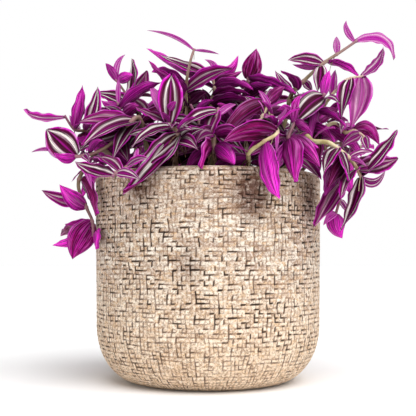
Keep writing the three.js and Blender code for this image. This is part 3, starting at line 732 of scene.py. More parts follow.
def back_stem(row, random):
    name, azimuth, foot_radius, reach, crest, end = row
    turn = math.radians(azimuth)
    sway = (random() - 0.5) * BACK_SWAY
    droop = TRAIL_DROOP if end < crest - TRAIL_DROP else BACK_DROOP

    def place(radius, angle, z):
        return np.array([radius * math.cos(angle), radius * math.sin(angle), z])

    foot = place(foot_radius, turn, 0)
    middle = (foot_radius + reach) / 2
    route = [
        place(middle + BACK_FIRST[0], turn + sway / 2, (SOIL_TOP + crest) / 2 + BACK_FIRST[1]),
        place(middle + BACK_CREST_OUT, turn + sway, crest),
        place(reach, turn + sway * BACK_END_SWAY, end),
    ]
    leaves = []
    for i in range(BACK_LEAVES):
        share = i / (BACK_LEAVES - 1)
        swing = 1 if i % 2 else -1
        start, less, spread = BACK_ASIDE
        aside = (start - less * share) * swing + (random() - 0.5) * spread
        start, less, spread = BACK_RISE
        rise = start - less * share * droop + (random() - 0.5) * spread
        size = drawn(random, *BACK_SIZE) - BACK_SHRINK * share
        length, width = BACK_LEAF_LENGTH * size, BACK_LEAF_WIDTH * size
        leaves.append([1 + 2 * share, turn + aside, rise, length, width])
    return Stem(name, BACK_RADIUS, StemPath(foot[:2], route), leaves, back_leaf)


def all_stems():
    random = mulberry(SEED)
    stems = []
    for name, radius, foot, seen, rows in FRONT_STEMS:
        path = StemPath(foot, [on_sight(*point) for point in seen])
        stems.append(Stem(name, radius, path, rows, front_leaf))
    stems += [back_stem(row, random) for row in BACK_STEMS]
    for stem in stems:
        if stem.place is front_leaf:
            stem.fill = fill_rows(stem.path, random)
    place_leaves(stems)
    return stems


def place_leaves(stems):
    """Every leaf takes the first place along its line of sight, or turn about its stem,
    that is clear of the pot, the soil, the other stems and the leaves before it. A leaf of
    the fill that finds none is left out."""
    places, owners, rooms, bare = [], [], [], []
    for owner, stem in enumerate(stems):
        for i in range(stem.path.spans * STEM_PROBES + 1):
            places.append(stem.path.at(i / STEM_PROBES))
            owners.append(owner)
            rooms.append(stem.radius + STEM_CLEARANCE)
            bare.append(True)

    def settle(stem, owner, row, place):
        base = stem.path.anchor(row[0])
        mine = np.array(owners) == owner
        others = ~(mine & np.array(bare))
        near = np.array(places)[others]
        need = np.where(mine, OWN_CLEARANCE, rooms)[others]
        best = None
        for shift in SHIFTS:
            leaf = place(base, row, shift)
            if shift and np.linalg.norm(leaf.tip - base) > LONGEST_LEAF:
                continue
            probes = leaf.probes()
            apart = np.linalg.norm(probes[:, None] - near[None], axis=2) - need
            clear = min(apart.min(), pot_distance(probes).min() - POT_CLEARANCE)
            if best is None or clear > best[0]:
                best = (clear, leaf)
            if clear >= 0:
                break
        outside = np.hypot(*best[1].tip[:2]) > FILL_REACH
        if place is fill_leaf and (best[0] < 0 or outside):
            return
        stem.leaves.append(best[1])
        stem.joints.append(row[0])
        for probe in best[1].probes():
            places.append(probe)
            owners.append(owner)
            rooms.append(CLEARANCE)
            bare.append(False)

    for owner, stem in enumerate(stems):
        for row in stem.rows:
            settle(stem, owner, row, stem.place)
    for owner, stem in enumerate(stems):
        for row in stem.fill:
            settle(stem, owner, row, fill_leaf)


def noise_wave(values, seed):
    """A smooth wave in [-1, 1] that closes on itself round a full turn of values, in radians:
    four sines of 2 to 12 turns."""
    draw = mulberry(seed)
    total = np.zeros_like(values)
    for _ in range(4):
        total += np.sin(values * (2 + math.floor(draw() * 11)) + draw() * 2 * math.pi)
    return total / 4


def mesh_object(name, verts, faces, materials, sides=None, fields=None):
    """A mesh in millimetres made into an object in metres, with the material of each face and
    named fields on its points."""
    mesh = bpy.data.meshes.new(name)
    mesh.from_pydata((np.asarray(verts) * MM).tolist(), [], [list(map(int, f)) for f in faces])
    for material in materials:
        mesh.materials.append(material)
    if sides is not None:
        mesh.polygons.foreach_set("material_index", np.asarray(sides, np.int32))
    mesh.polygons.foreach_set("use_smooth", np.full(len(mesh.polygons), True))
    for field, values in (fields or {}).items():
        values = np.asarray(values, np.float32)
        vector = values.ndim == 2
        attribute = mesh.attributes.new(field, "FLOAT_VECTOR" if vector else "FLOAT", "POINT")
        attribute.data.foreach_set("vector" if vector else "value", values.ravel())
    mesh.update()
    piece = bpy.data.objects.new(name, mesh)
    bpy.context.scene.collection.objects.link(piece)
    return piece


def ring_faces(start, count, rings):
    """Quads between closed rings of count points, which lie one ring after the other."""
    faces = []
    for ring in range(start, start + (rings - 1) * count, count):
        for k in range(count):
            a, b = ring + k, ring + (k + 1) % count
            faces.append([a, b, b + count, a + count])
    return faces


def tube_faces(count, rings):
    """Quads of a tube, then the caps at its start and its end."""
    caps = [list(range(count))[::-1], list(range(count * (rings - 1), count * rings))]
    return ring_faces(0, count, rings) + caps


def circle(radius, height, turns):
    """A ring of points round the pot's axis."""
    return np.stack(
        [radius * np.cos(turns), radius * np.sin(turns), np.broadcast_to(height, turns.shape)], axis=1
    )


def quarter(middle, reach, start, end, count):
    """Points (radius, height) on a quarter or less of an ellipse round the middle."""
    return [
        (middle[0] + reach[0] * math.cos(a), middle[1] + reach[1] * math.sin(a))
        for a in np.linspace(start, end, count)
    ]


class Skin:
    """Points, faces and fields of a piece, gathered part by part."""

    def __init__(self):
        self.points, self.faces, self.sides = [], [], []
        self.blade, self.young, self.inner = [], [], []
        self.count = 0

    # The inner field of a point is its painted shade
    def add(self, points, faces, sides, blade, young, inner=0.0):
        self.faces += [[self.count + i for i in face] for face in faces]
        self.sides += sides
        self.points.append(points)
        self.blade.append(np.broadcast_to(blade, (len(points), 3)))
        self.young.append(np.full(len(points), young))
        self.inner.append(np.broadcast_to(inner, len(points)))
        self.count += len(points)

    def make(self, name, materials):
        fields = {"blade": self.blade, "young": self.young, "inner": self.inner}
        fields = {key: np.concatenate(parts) for key, parts in fields.items()}
        return mesh_object(name, np.vstack(self.points), self.faces, materials, self.sides, fields)


# The materials of a leafy stem, in their order on its mesh
TOP_SIDE, UNDER_SIDE, BARK, SHEATH = range(4)


def blade_layout(rows, columns):
    """Faces of a closed blade: a top grid, an underside that shares its rim, and a tip."""
    wide = columns + 1
    top = np.arange(rows * wide).reshape(rows, wide)
    tip = rows * wide
    under = top.copy()
    inner = (rows - 1) * (wide - 2)
    under[1:, 1:-1] = tip + 1 + np.arange(inner).reshape(rows - 1, wide - 2)
    faces, sides = [], []
    for grid, side in ((top, TOP_SIDE), (under, UNDER_SIDE)):
        made = [
            [grid[i, j], grid[i + 1, j], grid[i + 1, j + 1], grid[i, j + 1]]
            for i in range(rows - 1) for j in range(columns)
        ]
        made += [[grid[-1, j], tip, grid[-1, j + 1]] for j in range(columns)]
        faces += made if side == TOP_SIDE else [face[::-1] for face in made]
        sides += [side] * len(made)
    return faces, sides


BLADE_LAYOUTS = {grid: blade_layout(*grid) for grid in (BLADE_GRID, SMALL_GRID)}


def blade_points(leaf, grid, draw):
    """Points of a fine blade, and (along, across, seed) at each. Past its start its margin
    waves, and its halves are pleated and curl up or down. Its end thins to the tip."""
    rows, columns = grid
    t, s = spots(np.linspace(0, 1, rows + 1)[:-1] ** 0.9, np.linspace(-1, 1, columns + 1))
    t, s = np.append(t, 1.0), np.append(s, 0.0)
    place, normal = leaf.surface(t, s, BLADE_CLASP)
    phase = draw() * 2 * math.pi
    turns = drawn(draw, *WAVE_TURNS)
    share = min(1, leaf.width / BROADEST)
    wave = np.sin(turns * 2 * math.pi * t + phase + WAVE_SHIFT * np.sign(s)) * np.abs(s) ** 2
    pleat = PLEAT * np.cos(3 * math.pi * np.abs(s)) * np.sin(math.pi * t)
    curl = CURL * drawn(draw, *CURL_WAY) * leaf.width * s**2 * t * np.abs(s)
    lift = (WAVE * share * wave + pleat + curl) * np.minimum(1, t / BLADE_START)
    place = place + normal * lift[:, None]
    half = BLADE_THICKNESS / 2 * np.sqrt(np.clip(1 - s**2, 0, 1))
    half = half * np.clip((1 - t) / BLADE_END, 0, 1)
    wide = columns + 1
    inner = np.arange(rows * wide).reshape(rows, wide)[1:, 1:-1].ravel()
    upper = place + normal * half[:, None]
    lower = (place - normal * half[:, None])[inner]
    field = np.stack([t, s, np.full_like(t, draw())], axis=1)
    return np.vstack([upper, lower]), np.vstack([field, field[inner]])


def ways_round(count):
    """Directions spread evenly over a sphere."""
    heights = 1 - 2 * (np.arange(count) + 0.5) / count
    angles = math.pi * (3 - math.sqrt(5)) * np.arange(count)
    rings = np.sqrt(1 - heights**2)
    return np.stack([rings * np.cos(angles), rings * np.sin(angles), heights], axis=1)


def measure_shade_occlusion(stems):
    """For each leaf a small grid, along by across, of the share of ways that something closes; it sets
    the leaf's painted shade.
    """
    leaves = [leaf for stem in stems for leaf in stem.leaves]
    leaves += [leaf for stem in stems for _, leaf in stem.small]
    verts, faces = [], []
    grid = spots(np.linspace(0, 1, SHELTER_ROWS), [-1, 0, 1])
    corners = [3 * i + j for i in range(SHELTER_ROWS - 1) for j in (0, 1)]
    for leaf in leaves:
        faces += [[len(verts) + a + b for b in (0, 1, 4, 3)] for a in corners]
        verts += leaf.surface(*grid, BLADE_CLASP)[0].tolist()
    faces.append([len(verts) + k for k in range(4)])
    verts += [
        [x * SHELTER_SOIL, y * SHELTER_SOIL, SOIL_TOP] for x, y in ((-1, -1), (1, -1), (1, 1), (-1, 1))
    ]
    tree = BVHTree.FromPolygons(verts, faces)
    ways = ways_round(SHELTER_WAYS)
    measured = spots(SHELTER_ALONG, SHELTER_ACROSS)
    for leaf in leaves:
        shares = []
        for place in leaf.surface(*measured, BLADE_CLASP)[0]:
            hits = [tree.ray_cast(place + SHELTER_START * way, way, SHELTER_REACH)[0] for way in ways]
            shares.append(sum(hit is not None for hit in hits) / len(ways))
        leaf.shelter = np.array(shares).reshape(len(SHELTER_ALONG), len(SHELTER_ACROSS))


def painted_shade_at(leaf, along, across):
    """The leaf's painted shade at places along and across it, from 0 in the open to 1 deep inside."""
    columns = np.array([np.interp(along, SHELTER_ALONG, column) for column in leaf.shelter.T])
    place = np.interp(across, SHELTER_ACROSS, [0, 1, 2])
    left = np.minimum(place.astype(int), 1)
    index = np.arange(len(along))
    share = columns[left, index] * (left + 1 - place) + columns[left + 1, index] * (place - left)
    return np.clip((share - SHELTER_FROM) / (SHELTER_FULL - SHELTER_FROM), 0, 1)


def depth_of(leaf):
    """How deep in the plant a leaf lies, from 0 at its outside or top to 1."""
    middle = (leaf.base + leaf.tip) / 2
    inward = np.clip((DEEP_REACH - math.hypot(middle[0], middle[1])) / DEEP_REACH_FADE, 0, 1)
    return inward * np.clip((DEEP_HEIGHT - middle[2]) / DEEP_HEIGHT_FADE, 0, 1)


def stem_points(stem):
    """Points and faces of a stem's round skin, with (along, joint, turn) at each."""
    path, rings = stem.path, stem.path.spans * stem.path.steps + 1
    places = np.linspace(0, path.spans, path.spans * STEM_RINGS_PER_SPAN + 1)
    centres = [path.base] + [path.at(p) for p in places]
    places = np.append(SUNK_PLACE, places)
    verts, fields = [], []
    side = np.array([1.0, 0, 0])
    for i, centre in enumerate(centres):
        ahead = centres[min(i + 1, len(centres) - 1)]
        along = np.array([0, 0, 1.0]) if i < 2 else unit(ahead - centres[i - 1])
        side = unit(side - along * side.dot(along))
        other = np.cross(along, side)
        done = (places[i] * path.steps + 1) / rings if i else 0
        joint = max(math.exp(-(((places[i] - j) / NODE_LENGTH) ** 2)) for j in stem.joints)
        thickness = stem.radius * (1 - (1 - STEM_END) * done) * (1 + NODE_SWELL * joint)
        for k in range(STEM_SIDES):
            turn = 2 * math.pi * k / STEM_SIDES
            verts.append(centre + thickness * (math.cos(turn) * side + math.sin(turn) * other))
            fields.append([done, joint, k / STEM_SIDES])
    return np.array(verts), tube_faces(STEM_SIDES, len(centres)), np.array(fields)


def thread(start, way, length, bend, wide, thin):
    """A thin flat or round thread that leaves start along way and turns towards bend."""
    way, points = unit(way), [np.array(start)]
    for _ in range(THREAD_STEPS):
        way = unit(way + bend / THREAD_STEPS)
        points.append(points[-1] + way * length / THREAD_STEPS)
    side = unit(np.cross(way, THREAD_ASIDE))
    other = np.cross(way, side)
    verts = []
    for i, point in enumerate(points):
        size = math.sqrt(1 - (i / (THREAD_STEPS + 1)) ** 2)
        verts += [point + wide * size * side, point + thin * other,
                  point - wide * size * side, point - thin * other]
    return np.array(verts), tube_faces(4, THREAD_STEPS + 1)


def dry_sheaths(stem, draw):
    """Brown remains of leaf sheaths round the old joints deep in the plant."""
    strips = []
    for joint in sorted(set(stem.joints)):
        base = stem.path.anchor(joint)
        if math.hypot(base[0], base[1]) > SHEATH_REACH or base[2] > SHEATH_HEIGHT:
            continue
        for _ in range(SHEATHS):
            turn = 2 * math.pi * draw()
            way = np.array([math.cos(turn), math.sin(turn), drawn(draw, *SHEATH_RISE)])
            bend = np.array([draw() - 0.5, draw() - 0.5, -1.0]) * SHEATH_TURN
            length, wide = drawn(draw, *SHEATH_LENGTH), drawn(draw, *SHEATH_WIDTH)
            strips.append(thread(base, way, length, bend, wide, SHEATH_THICKNESS))
    return strips


def air_roots(stem, draw):
    """Thin roots that hang from some of the joints outside the soil."""
    roots = []
    down = np.array([0, 0, -ROOT_TURN])
    for joint in sorted(set(stem.joints)):
        chance, turn, length = draw(), 2 * math.pi * draw(), drawn(draw, *ROOT_LENGTH)
        base = stem.path.anchor(joint)
        if chance <= ROOT_SHARE and base[2] >= SOIL_TOP:
            way = np.array([math.cos(turn), math.sin(turn), ROOT_RISE])
            roots.append(thread(base, way, length, down, ROOT_THICKNESS, ROOT_THICKNESS))
    return roots


def small_leaf(path, draw):
    """One small leaf on a stem, at a drawn place and turn."""
    place = SMALL_END + (path.spans - 2 * SMALL_END) * draw()
    base = path.anchor(place)
    turn, length = 2 * math.pi * draw(), drawn(draw, *SMALL_LENGTH)
    way = unit(np.array([math.cos(turn), math.sin(turn), drawn(draw, *SMALL_RISE)]))
    tip = base + way * length
    middle = (base + tip) / 2 + np.array([0, 0, drawn(draw, *SMALL_ARCH) * length])
    up = unit(np.array([SMALL_ROLL * (draw() - 0.5), SMALL_ROLL * (draw() - 0.5), SMALL_UP]))
    kind = TOP if draw() < 0.5 else UNDER
    return place, Leaf(base, tip, middle, length * drawn(draw, *SMALL_WIDTH), up, kind)


def leaf_dots(leaf):
    """Places on a leaf that stand for it where its room is measured."""
    return leaf.surface(*spots(np.linspace(0.15, 1, 8), [-0.9, 0, 0.9]))[0]


def in_plant(dots):
    """Whether a small leaf stays within the plant, over the rim, inside it or behind the pot."""
    reach, height = np.hypot(dots[:, 0], dots[:, 1]), dots[:, 2]
    inside = (reach < POT_RADIUS - SMALL_INSIDE) & (height > SOIL_TOP + 2)
    behind = (reach > POT_RADIUS + SMALL_OUTSIDE) & (dots[:, 1] > 0) & (height > SMALL_LOWEST)
    most = SMALL_REACH if dots[0, 1] < 0 else SMALL_REACH_BACK
    clear = np.all((height > POT_HEIGHT + SMALL_ABOVE) | inside | behind)
    return clear and reach.max() <= most and height.max() <= SMALL_HEIGHT


def add_small_leaves(stems, draw):
    """Fill each stem's room with small leaves that stay clear of every stem and leaf."""
    dots = [leaf_dots(leaf) for stem in stems for leaf in stem.leaves]
    for path in (stem.path for stem in stems):
        dots.append([path.at(p) for p in np.linspace(0, path.spans, 12 * path.spans)])
    dots = np.vstack(dots)
    tree = KDTree(len(dots))
    for i, dot in enumerate(dots):
        tree.insert(dot, i)
    tree.balance()
    added = np.full((1, 3), 1e6)
    for stem in stems:
        for _ in range(SMALL_TRIES):
            place, leaf = small_leaf(stem.path, draw)
            own = leaf_dots(leaf)
            if len(stem.small) >= SMALL_MOST or not in_plant(own):
                continue
            apart = min(tree.find(dot)[2] for dot in own)
            beside = np.linalg.norm(added[None] - own[:, None], axis=2).min()
            if min(apart, beside) >= SMALL_CLEAR:
                stem.small.append((place, leaf))
                added = np.vstack([added, own])


def leafy_stem(stem, materials, draw, thread_draw):
    """One piece of a stem with its sheaths, roots, leaves and small leaves."""
    name, path = stem.name, stem.path
    skin = Skin()
    pale = PALE_STEMS.get(name, PALE_ELSE)
    points, faces, field = stem_points(stem)
    skin.add(points, faces, [BARK] * len(faces), field, pale)
    sheaths, roots = dry_sheaths(stem, thread_draw), air_roots(stem, thread_draw)
    for side, threads in ((SHEATH, sheaths), (BARK, roots)):
        for points, faces in threads:
            skin.add(points, faces, [side] * len(faces), THREAD_FIELD, pale)
    leaves = [(joint, leaf, BLADE_GRID, draw) for leaf, joint in zip(stem.leaves, stem.joints)]
    leaves += [(joint, leaf, SMALL_GRID, thread_draw) for joint, leaf in stem.small]
    for joint, leaf, grid, blade_draw in leaves:
        points, field = blade_points(leaf, grid, blade_draw)
        narrow = max(0.0, FRESH_NARROW - leaf.width / FRESH_TO_WIDTH)
        fresh = FRESH_YOUNG if leaf.kind == YOUNG else narrow
        if joint > path.spans - FRESH_SPANS:
            fresh = max(fresh, FRESH_ENDS.get(name, 0))
        # Painted shade: darker where the neighbours close the leaf in, or where it lies deep in the plant
        inner = np.maximum(depth_of(leaf), painted_shade_at(leaf, field[:, 0], field[:, 1]))
        skin.add(points, *BLADE_LAYOUTS[grid], field, fresh, inner)
    piece = skin.make("foliage_" + name, materials)
    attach(piece, "root")
    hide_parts("stem_" + name)


def pot_profile():
    """The pot's outside from the foot to the top of its lip: arc length, and (radius, height)."""
    foot, top = POT_RADIUS - POT_TAPER, POT_HEIGHT - LIP
    corner = (foot - POT_CORNER_OUT, POT_CORNER_UP)
    points = quarter(corner, (POT_CORNER_OUT, POT_CORNER_UP), -math.pi / 2, 0, FOOT_STEPS)
    for share in np.linspace(0, 1, WALL_STEPS)[1:]:
        points.append((foot + POT_TAPER * share, POT_CORNER_UP + (top - POT_CORNER_UP) * share))
    points += quarter((POT_RADIUS - LIP, top), (LIP, LIP), 0, math.pi / 2, LIP_STEPS)[1:]
    points = np.array(points)
    steps = np.linalg.norm(np.diff(points, axis=0), axis=1)
    return np.append(0, np.cumsum(steps)), points


def inner_corner(edge, bottom, count):
    """The rounded corner between the pot's inner wall, or the soil's, and the bottom."""
    middle = (edge - INNER_CORNER, bottom + INNER_CORNER)
    return quarter(middle, (INNER_CORNER, INNER_CORNER), 0, -math.pi / 2, count)


def groove_strength(draw, bold, weak_share, spread, bolder):
    """A weak groove at times, or else one that is stronger in the bold patches."""
    if draw() < weak_share:
        return WEAK_GROOVE * draw()
    return WEAK_GROOVE + spread * draw() + bolder * bold


def weave_grooves(rows):
    """How strong each groove of the weave is, below and to the left of each cell, and the tone
    of each cell. Over faint lines all round, a strand shows for one to three cells and hides for
    one or two, and an upright groove stands at its end. The low rows are calmer."""
    draw = mulberry(WEAVE_SEED)
    columns = WEAVE_COLUMNS
    below, left = WEAVE_FAINT * np.array(
        [[[draw() for _ in range(columns)] for _ in range(rows + 1)] for _ in range(2)]
    )
    tone = np.zeros((rows + 1, columns))
    for row in range(rows + 1):
        low = max(0, 1 - row / rows / LOW_ROWS)
        calm = WEAVE_LOW * low + 1 - low
        column = math.floor(draw() * ROW_OFFSET)
        end = column + columns - 2
        while column < end:
            shown = 1 + math.floor(draw() * (RUN_MORE - RUN_LESS_LOW * low))
            phase = 2 * math.pi * BOLD_PATCHES * column / columns + BOLD_LEAN * row
            bold = 0.5 + 0.5 * math.sin(phase + BOLD_SPREAD * draw())
            strength = calm * groove_strength(draw, bold, *ROW_GROOVES)
            shade = draw()
            for step in range(shown):
                taper = RUN_END if step == shown - 1 and shown > 1 else 1.0
                below[row, (column + step) % columns] = strength * taper
                tone[row, (column + step) % columns] = shade
            column += shown
            for _ in range(1 if draw() < HIDE_ONE else 2):
                tone[row, column % columns] = 0.5 * (shade + draw())
                column += 1
            upright = calm * groove_strength(draw, bold, *UPRIGHT_GROOVES)
            left[row, column % columns] = upright + UPRIGHT_LOW * low
            if draw() < TALL_SHARE + TALL_SHARE_LOW * low and row > 0:
                left[row - 1, column % columns] = TALL_FADE * upright + UPRIGHT_LOW * low
    return below, left, tone


def weave_waves(waves, turns, place):
    """How far a row or the columns lie off an even weave, round the pot at that row."""
    return sum(mm * noise_wave(times * turns + lean * place, seed) for mm, times, lean, seed in waves)


def pot_skin():
    """The pot's closed skin with its weave, and (groove, lift, height) at each point."""
    arc, profile = pot_profile()
    rows = round(arc[-1] / WEAVE_PITCH) - 1
    below, left, lift = weave_grooves(rows)
    column = np.repeat(np.arange(WEAVE_COLUMNS), len(WEAVE_SAMPLES))
    on_left = np.tile(np.equal(WEAVE_SAMPLES, 0), WEAVE_COLUMNS)
    even = 2 * math.pi * (column + np.tile(WEAVE_SAMPLES, WEAVE_COLUMNS)) / WEAVE_COLUMNS

    def outside(length):
        return np.array([np.interp(length, arc, part) for part in profile.T])

    verts, fields = [], []
    for row, y in ((row, y) for row in range(rows) for y in WEAVE_SAMPLES):
        groove = left[row, column] * on_left
        if y == 0:
            groove = np.maximum(groove, below[row, column])
        place = row + y
        calm = min(1, place / FOOT_ROWS, (rows - place) / RIM_ROWS)
        wander = weave_waves(ROW_WAVES, even, place)
        length = np.clip(place * arc[-1] / rows + wander * calm, 0, arc[-1])
        turns = even + weave_waves(COLUMN_WAVES, even, place) / POT_RADIUS
        radius, height = outside(length)
        slope_r, slope_z = outside(length + SLOPE_STEP) - outside(length - SLOPE_STEP)
        size = np.hypot(slope_r, slope_z)
        fade = np.clip(length / FOOT_FADE, 0, 1) * np.clip((arc[-1] - length) / RIM_FADE, 0, 1)
        bump = (WEAVE_LIFT * (lift[row, column] - WEAVE_LEVEL) - groove) * WEAVE_DEPTH * fade
        radius = radius + bump * slope_z / size
        height = height - bump * slope_r / size
        verts.append(circle(radius, height, turns))
        fields.append(np.stack([groove * fade, lift[row, column], height], axis=1))
    inside = quarter((POT_RADIUS - LIP, POT_HEIGHT - LIP), (LIP, LIP), math.pi / 2, math.pi, 7)
    inside += inner_corner(POT_RADIUS - WALL, FLOOR, 8)
    for radius, height in inside:
        verts.append(circle(radius, height, even))
        fields.append(np.tile([0.0, 0.5, height], (len(even), 1)))
    count, rings = len(even), len(verts)
    faces = ring_faces(0, count, rings)
    foot, last = rings * count, (rings - 1) * count
    for k in range(count):
        n = (k + 1) % count
        faces += [[foot, n, k], [foot + 1, last + k, last + n]]
    verts.append([[0, 0, 0], [0, 0, FLOOR]])
    fields.append([[0, 0.5, 0], [0, 0.5, FLOOR]])
    return np.vstack(verts), faces, np.vstack(fields)


def make_pot(material):
    """The pot, cast in one piece with its weave."""
    points, faces, field = pot_skin()
    piece = mesh_object("pot_woven", points, faces, [material], fields={"weave": field})
    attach(piece, "root")
    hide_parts("pot")


def make_soil(material):
    """Loose soil: a lumpy top over the plain plug that fills the pot."""
    draw = mulberry(SOIL_SEED)
    edge = POT_RADIUS - WALL - SOIL_GAP
    lumps = [
        (draw() * 2 * math.pi, edge * math.sqrt(draw()), drawn(draw, *LUMP_SIZE), draw())
        for _ in range(SOIL_LUMPS)
    ]
    profile = [(edge * i / SOIL_RINGS, SOIL_TOP) for i in range(1, SOIL_RINGS + 1)]
    profile += inner_corner(edge, FLOOR + SOIL_GAP, 7)
    turns = 2 * math.pi * np.arange(SOIL_SPOKES) / SOIL_SPOKES
    verts = np.vstack([[[0, 0, SOIL_TOP]], *(circle(*point, turns) for point in profile)])
    top = verts[: 1 + SOIL_RINGS * SOIL_SPOKES]
    for turn, radius, size, high in lumps:
        away = np.hypot(top[:, 0] - radius * math.cos(turn), top[:, 1] - radius * math.sin(turn))
        top[:, 2] += LUMP_HEIGHT * high * np.exp(-((away / size) ** 2))
    top[:, 2] -= LUMP_SINK
    faces = [[0, 1 + k, 1 + (k + 1) % SOIL_SPOKES] for k in range(SOIL_SPOKES)]
    faces += [[a, d, c, b] for a, b, c, d in ring_faces(1, SOIL_SPOKES, len(profile))]
    faces.append(list(range(len(verts) - SOIL_SPOKES, len(verts)))[::-1])
    piece = mesh_object("soil_loose", verts, faces, [material])
    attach(piece, "root")
    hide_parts("soil")


class Shader:
    """A short way to build the nodes of a material or of the world."""

    def __init__(self, name, world=False):
        self.owner = bpy.data.worlds.new(name) if world else bpy.data.materials.new(name)
        self.owner.use_nodes = True
        self.tree = self.owner.node_tree

    def add(self, kind, **inputs):
        """A node: set_ names are its settings, i0, i1 and socket names are its inputs."""
        made = self.tree.nodes.new(kind)
        for key, value in inputs.items():
            if key.startswith("set_"):
                setattr(made, key[4:], value)
            else:
                self.join(value, made, int(key[1:]) if key[1:].isdigit() else key)
        return made

    def join(self, value, node, key):
        socket = node.inputs[key.replace("_", " ") if isinstance(key, str) else key]
        if isinstance(value, bpy.types.NodeSocket):
            self.tree.links.new(value, socket)
        elif socket.type == "RGBA":
            socket.default_value = (*value, 1)
        else:
            socket.default_value = value

    def field(self, name):
        return self.add("ShaderNodeAttribute", set_attribute_name=name).outputs

    def place(self, kind="Object"):
        return self.add("ShaderNodeTexCoord").outputs[kind]

    def split(self, vector):
        return self.add("ShaderNodeSeparateXYZ", Vector=vector).outputs

    def math(self, operation, a, b=0.0, c=0.0):
        return self.add("ShaderNodeMath", set_operation=operation, i0=a, i1=b, i2=c).outputs[0]

    def plus(self, a, b):
        return self.math("ADD", a, b)

    def times(self, a, b, more=0.0):
        return self.math("MULTIPLY_ADD", a, b, more)

    def vectors(self, operation, a, b):
        return self.add("ShaderNodeVectorMath", set_operation=operation, i0=a, i1=b).outputs

    def noise(self, vector, scale, detail=3.0, roughness=0.55):
        made = self.add(
            "ShaderNodeTexNoise", Vector=vector, Scale=scale, Detail=detail, Roughness=roughness
        )
        return made.outputs["Fac"]

    def ramp(self, value, *stops):
        """Colours, or shares as greys, between places of the value."""
        made = self.add("ShaderNodeValToRGB", i0=value)
        elements = made.color_ramp.elements
        while len(elements) < len(stops):
            elements.new(0.5)
        for element, (place, shade) in zip(elements, stops):
            element.position = place
            element.color = (*shade, 1) if isinstance(shade, tuple) else (shade, shade, shade, 1)
        return made.outputs["Color"]

    def mix(self, share, a, b, blend="MIX"):
        kind = {"set_data_type": "RGBA", "set_blend_type": blend}
        return self.add("ShaderNodeMix", **kind, i0=share, i6=a, i7=b).outputs[2]

    def over(self, base, colour, value, *stops, blend="MIX"):
        """The base with a colour over it, as strong as the stops make it for the value."""
        return self.mix(self.ramp(value, *stops), base, colour, blend)

    def bump(self, height, distance, strength):
        return self.add("ShaderNodeBump", Height=height, Distance=distance, Strength=strength).outputs[0]

    def finish(self, **inputs):
        for key, value in inputs.items():
            self.join(value, self.tree.nodes["Principled BSDF"], key)
        return self.owner


# Colours of the leaves, and the noises drawn out along them: broad streaks, fine veins and
# blotches, each with its scales across and along, its change from leaf to leaf and its detail.
AUBERGINE = (0.048, 0.0005, 0.016)
PLUM = (0.34, 0.006, 0.20)
MAGENTA = (0.72, 0.014, 0.56)
# Near black of the painted shade on leaves that others close in
PAINTED_SHADE_DARK = (0.012, 0.0005, 0.003)
LEAF_NOISES = [(4.5, 1.3, 57.0, 3.0), (17.0, 1.1, 83.0, 2.0), (2.2, 4.0, 31.0, 3.0)]


def leaf_fields(shader):
    """How far along a leaf, how far from its midrib, its seed and its noises."""
    along, across, seed = shader.split(shader.field("blade")["Vector"])
    noises = []
    for wide, long, offset, detail in LEAF_NOISES:
        spot = shader.add(
            "ShaderNodeCombineXYZ",
            X=shader.times(across, wide), Y=shader.times(along, long), Z=shader.times(seed, offset),
        )
        noises.append(shader.noise(spot.outputs[0], 1.0, detail, 0.65))
    return along, shader.math("ABSOLUTE", across), seed, noises


def finish_leaf(shader, colour, away, noises, margin, rim_highlight, young, share):
    """A leaf's colour gets its magenta margin with a painted pale pink highlight, takes painted shade
    where the leaf is closed in, and goes over to pink where it is young."""
    streak, vein, blotch = noises
    # Magenta margin with a painted pale pink highlight on its blotches
    margin_and_highlight = shader.over(MAGENTA, rim_highlight[1], blotch, (0.46, 0.0), (0.62, rim_highlight[0]))
    edged = shader.over(colour, margin_and_highlight, away, *margin)
    pink = shader.over(young[0], young[1], streak, (0.45, 0.0), (0.62, 0.8))
    # Painted shade: the colour goes near black by the leaf's closed-in share
    dark = shader.mix(shader.times(shader.field("inner")["Fac"], 0.92), edged, PAINTED_SHADE_DARK)
    tinted = shader.mix(shader.times(shader.field("young")["Fac"], share), dark, pink)
    return shader.finish(
        Base_Color=tinted, Roughness=0.34, Specular_IOR_Level=0.05,
        Normal=shader.bump(vein, 0.0006, 0.7),
    )


def leaf_top_material():
    """Silver stripes over aubergine, a thin midrib and a magenta margin."""
    shader = Shader("leaf_top")
    along, away, seed, noises = leaf_fields(shader)
    streak, vein, blotch = noises
    drift = shader.times(streak, 0.3, -0.15)
    other_seed = shader.math("FRACT", shader.times(seed, 7.31))
    spread = shader.times(away, shader.times(other_seed, 0.5, 0.72))
    vary = shader.times(seed, 0.16, -0.06)
    taper = shader.times(shader.math("POWER", along, 4.0), 0.3)
    bands = shader.ramp(
        shader.plus(shader.plus(spread, drift), shader.plus(vary, taper)),
        (0.02, (0.13, 0.002, 0.06)),
        (0.14, (0.036, 0.0005, 0.012)),
        (0.27, (0.048, 0.004, 0.018)),
        (0.34, (0.28, 0.16, 0.22)),
        (0.40, (0.78, 0.72, 0.69)),
        (0.51, (0.55, 0.50, 0.46)),
        (0.59, (0.13, 0.05, 0.09)),
        (0.68, AUBERGINE),
        (0.82, (0.13, 0.001, 0.055)),
        (1.0, (0.56, 0.006, 0.42)),
    )
    banded = shader.mix(1.0, bands, shader.ramp(vein, (0.36, 0.25), (0.5, 0.9), (0.62, 1.5)), "MULTIPLY")
    plum = shader.over(AUBERGINE, PLUM, vein, (0.4, 0.0), (0.6, 1.0))
    flush = shader.times(seed, 0.8, shader.times(blotch, 0.5))
    flushed = shader.over(banded, plum, flush, (0.6, 0.0), (1.15, 0.7))
    rib = shader.over(flushed, (0.30, 0.004, 0.22), away, (0.02, 0.75), (0.07, 0.0))
    return finish_leaf(
        shader, rib, away, noises, margin=((0.82, 0.0), (0.95, 0.9)),
        rim_highlight=(0.75, (0.95, 0.48, 0.86)), young=((0.60, 0.010, 0.46), (0.74, 0.30, 0.62)), share=0.85,
    )


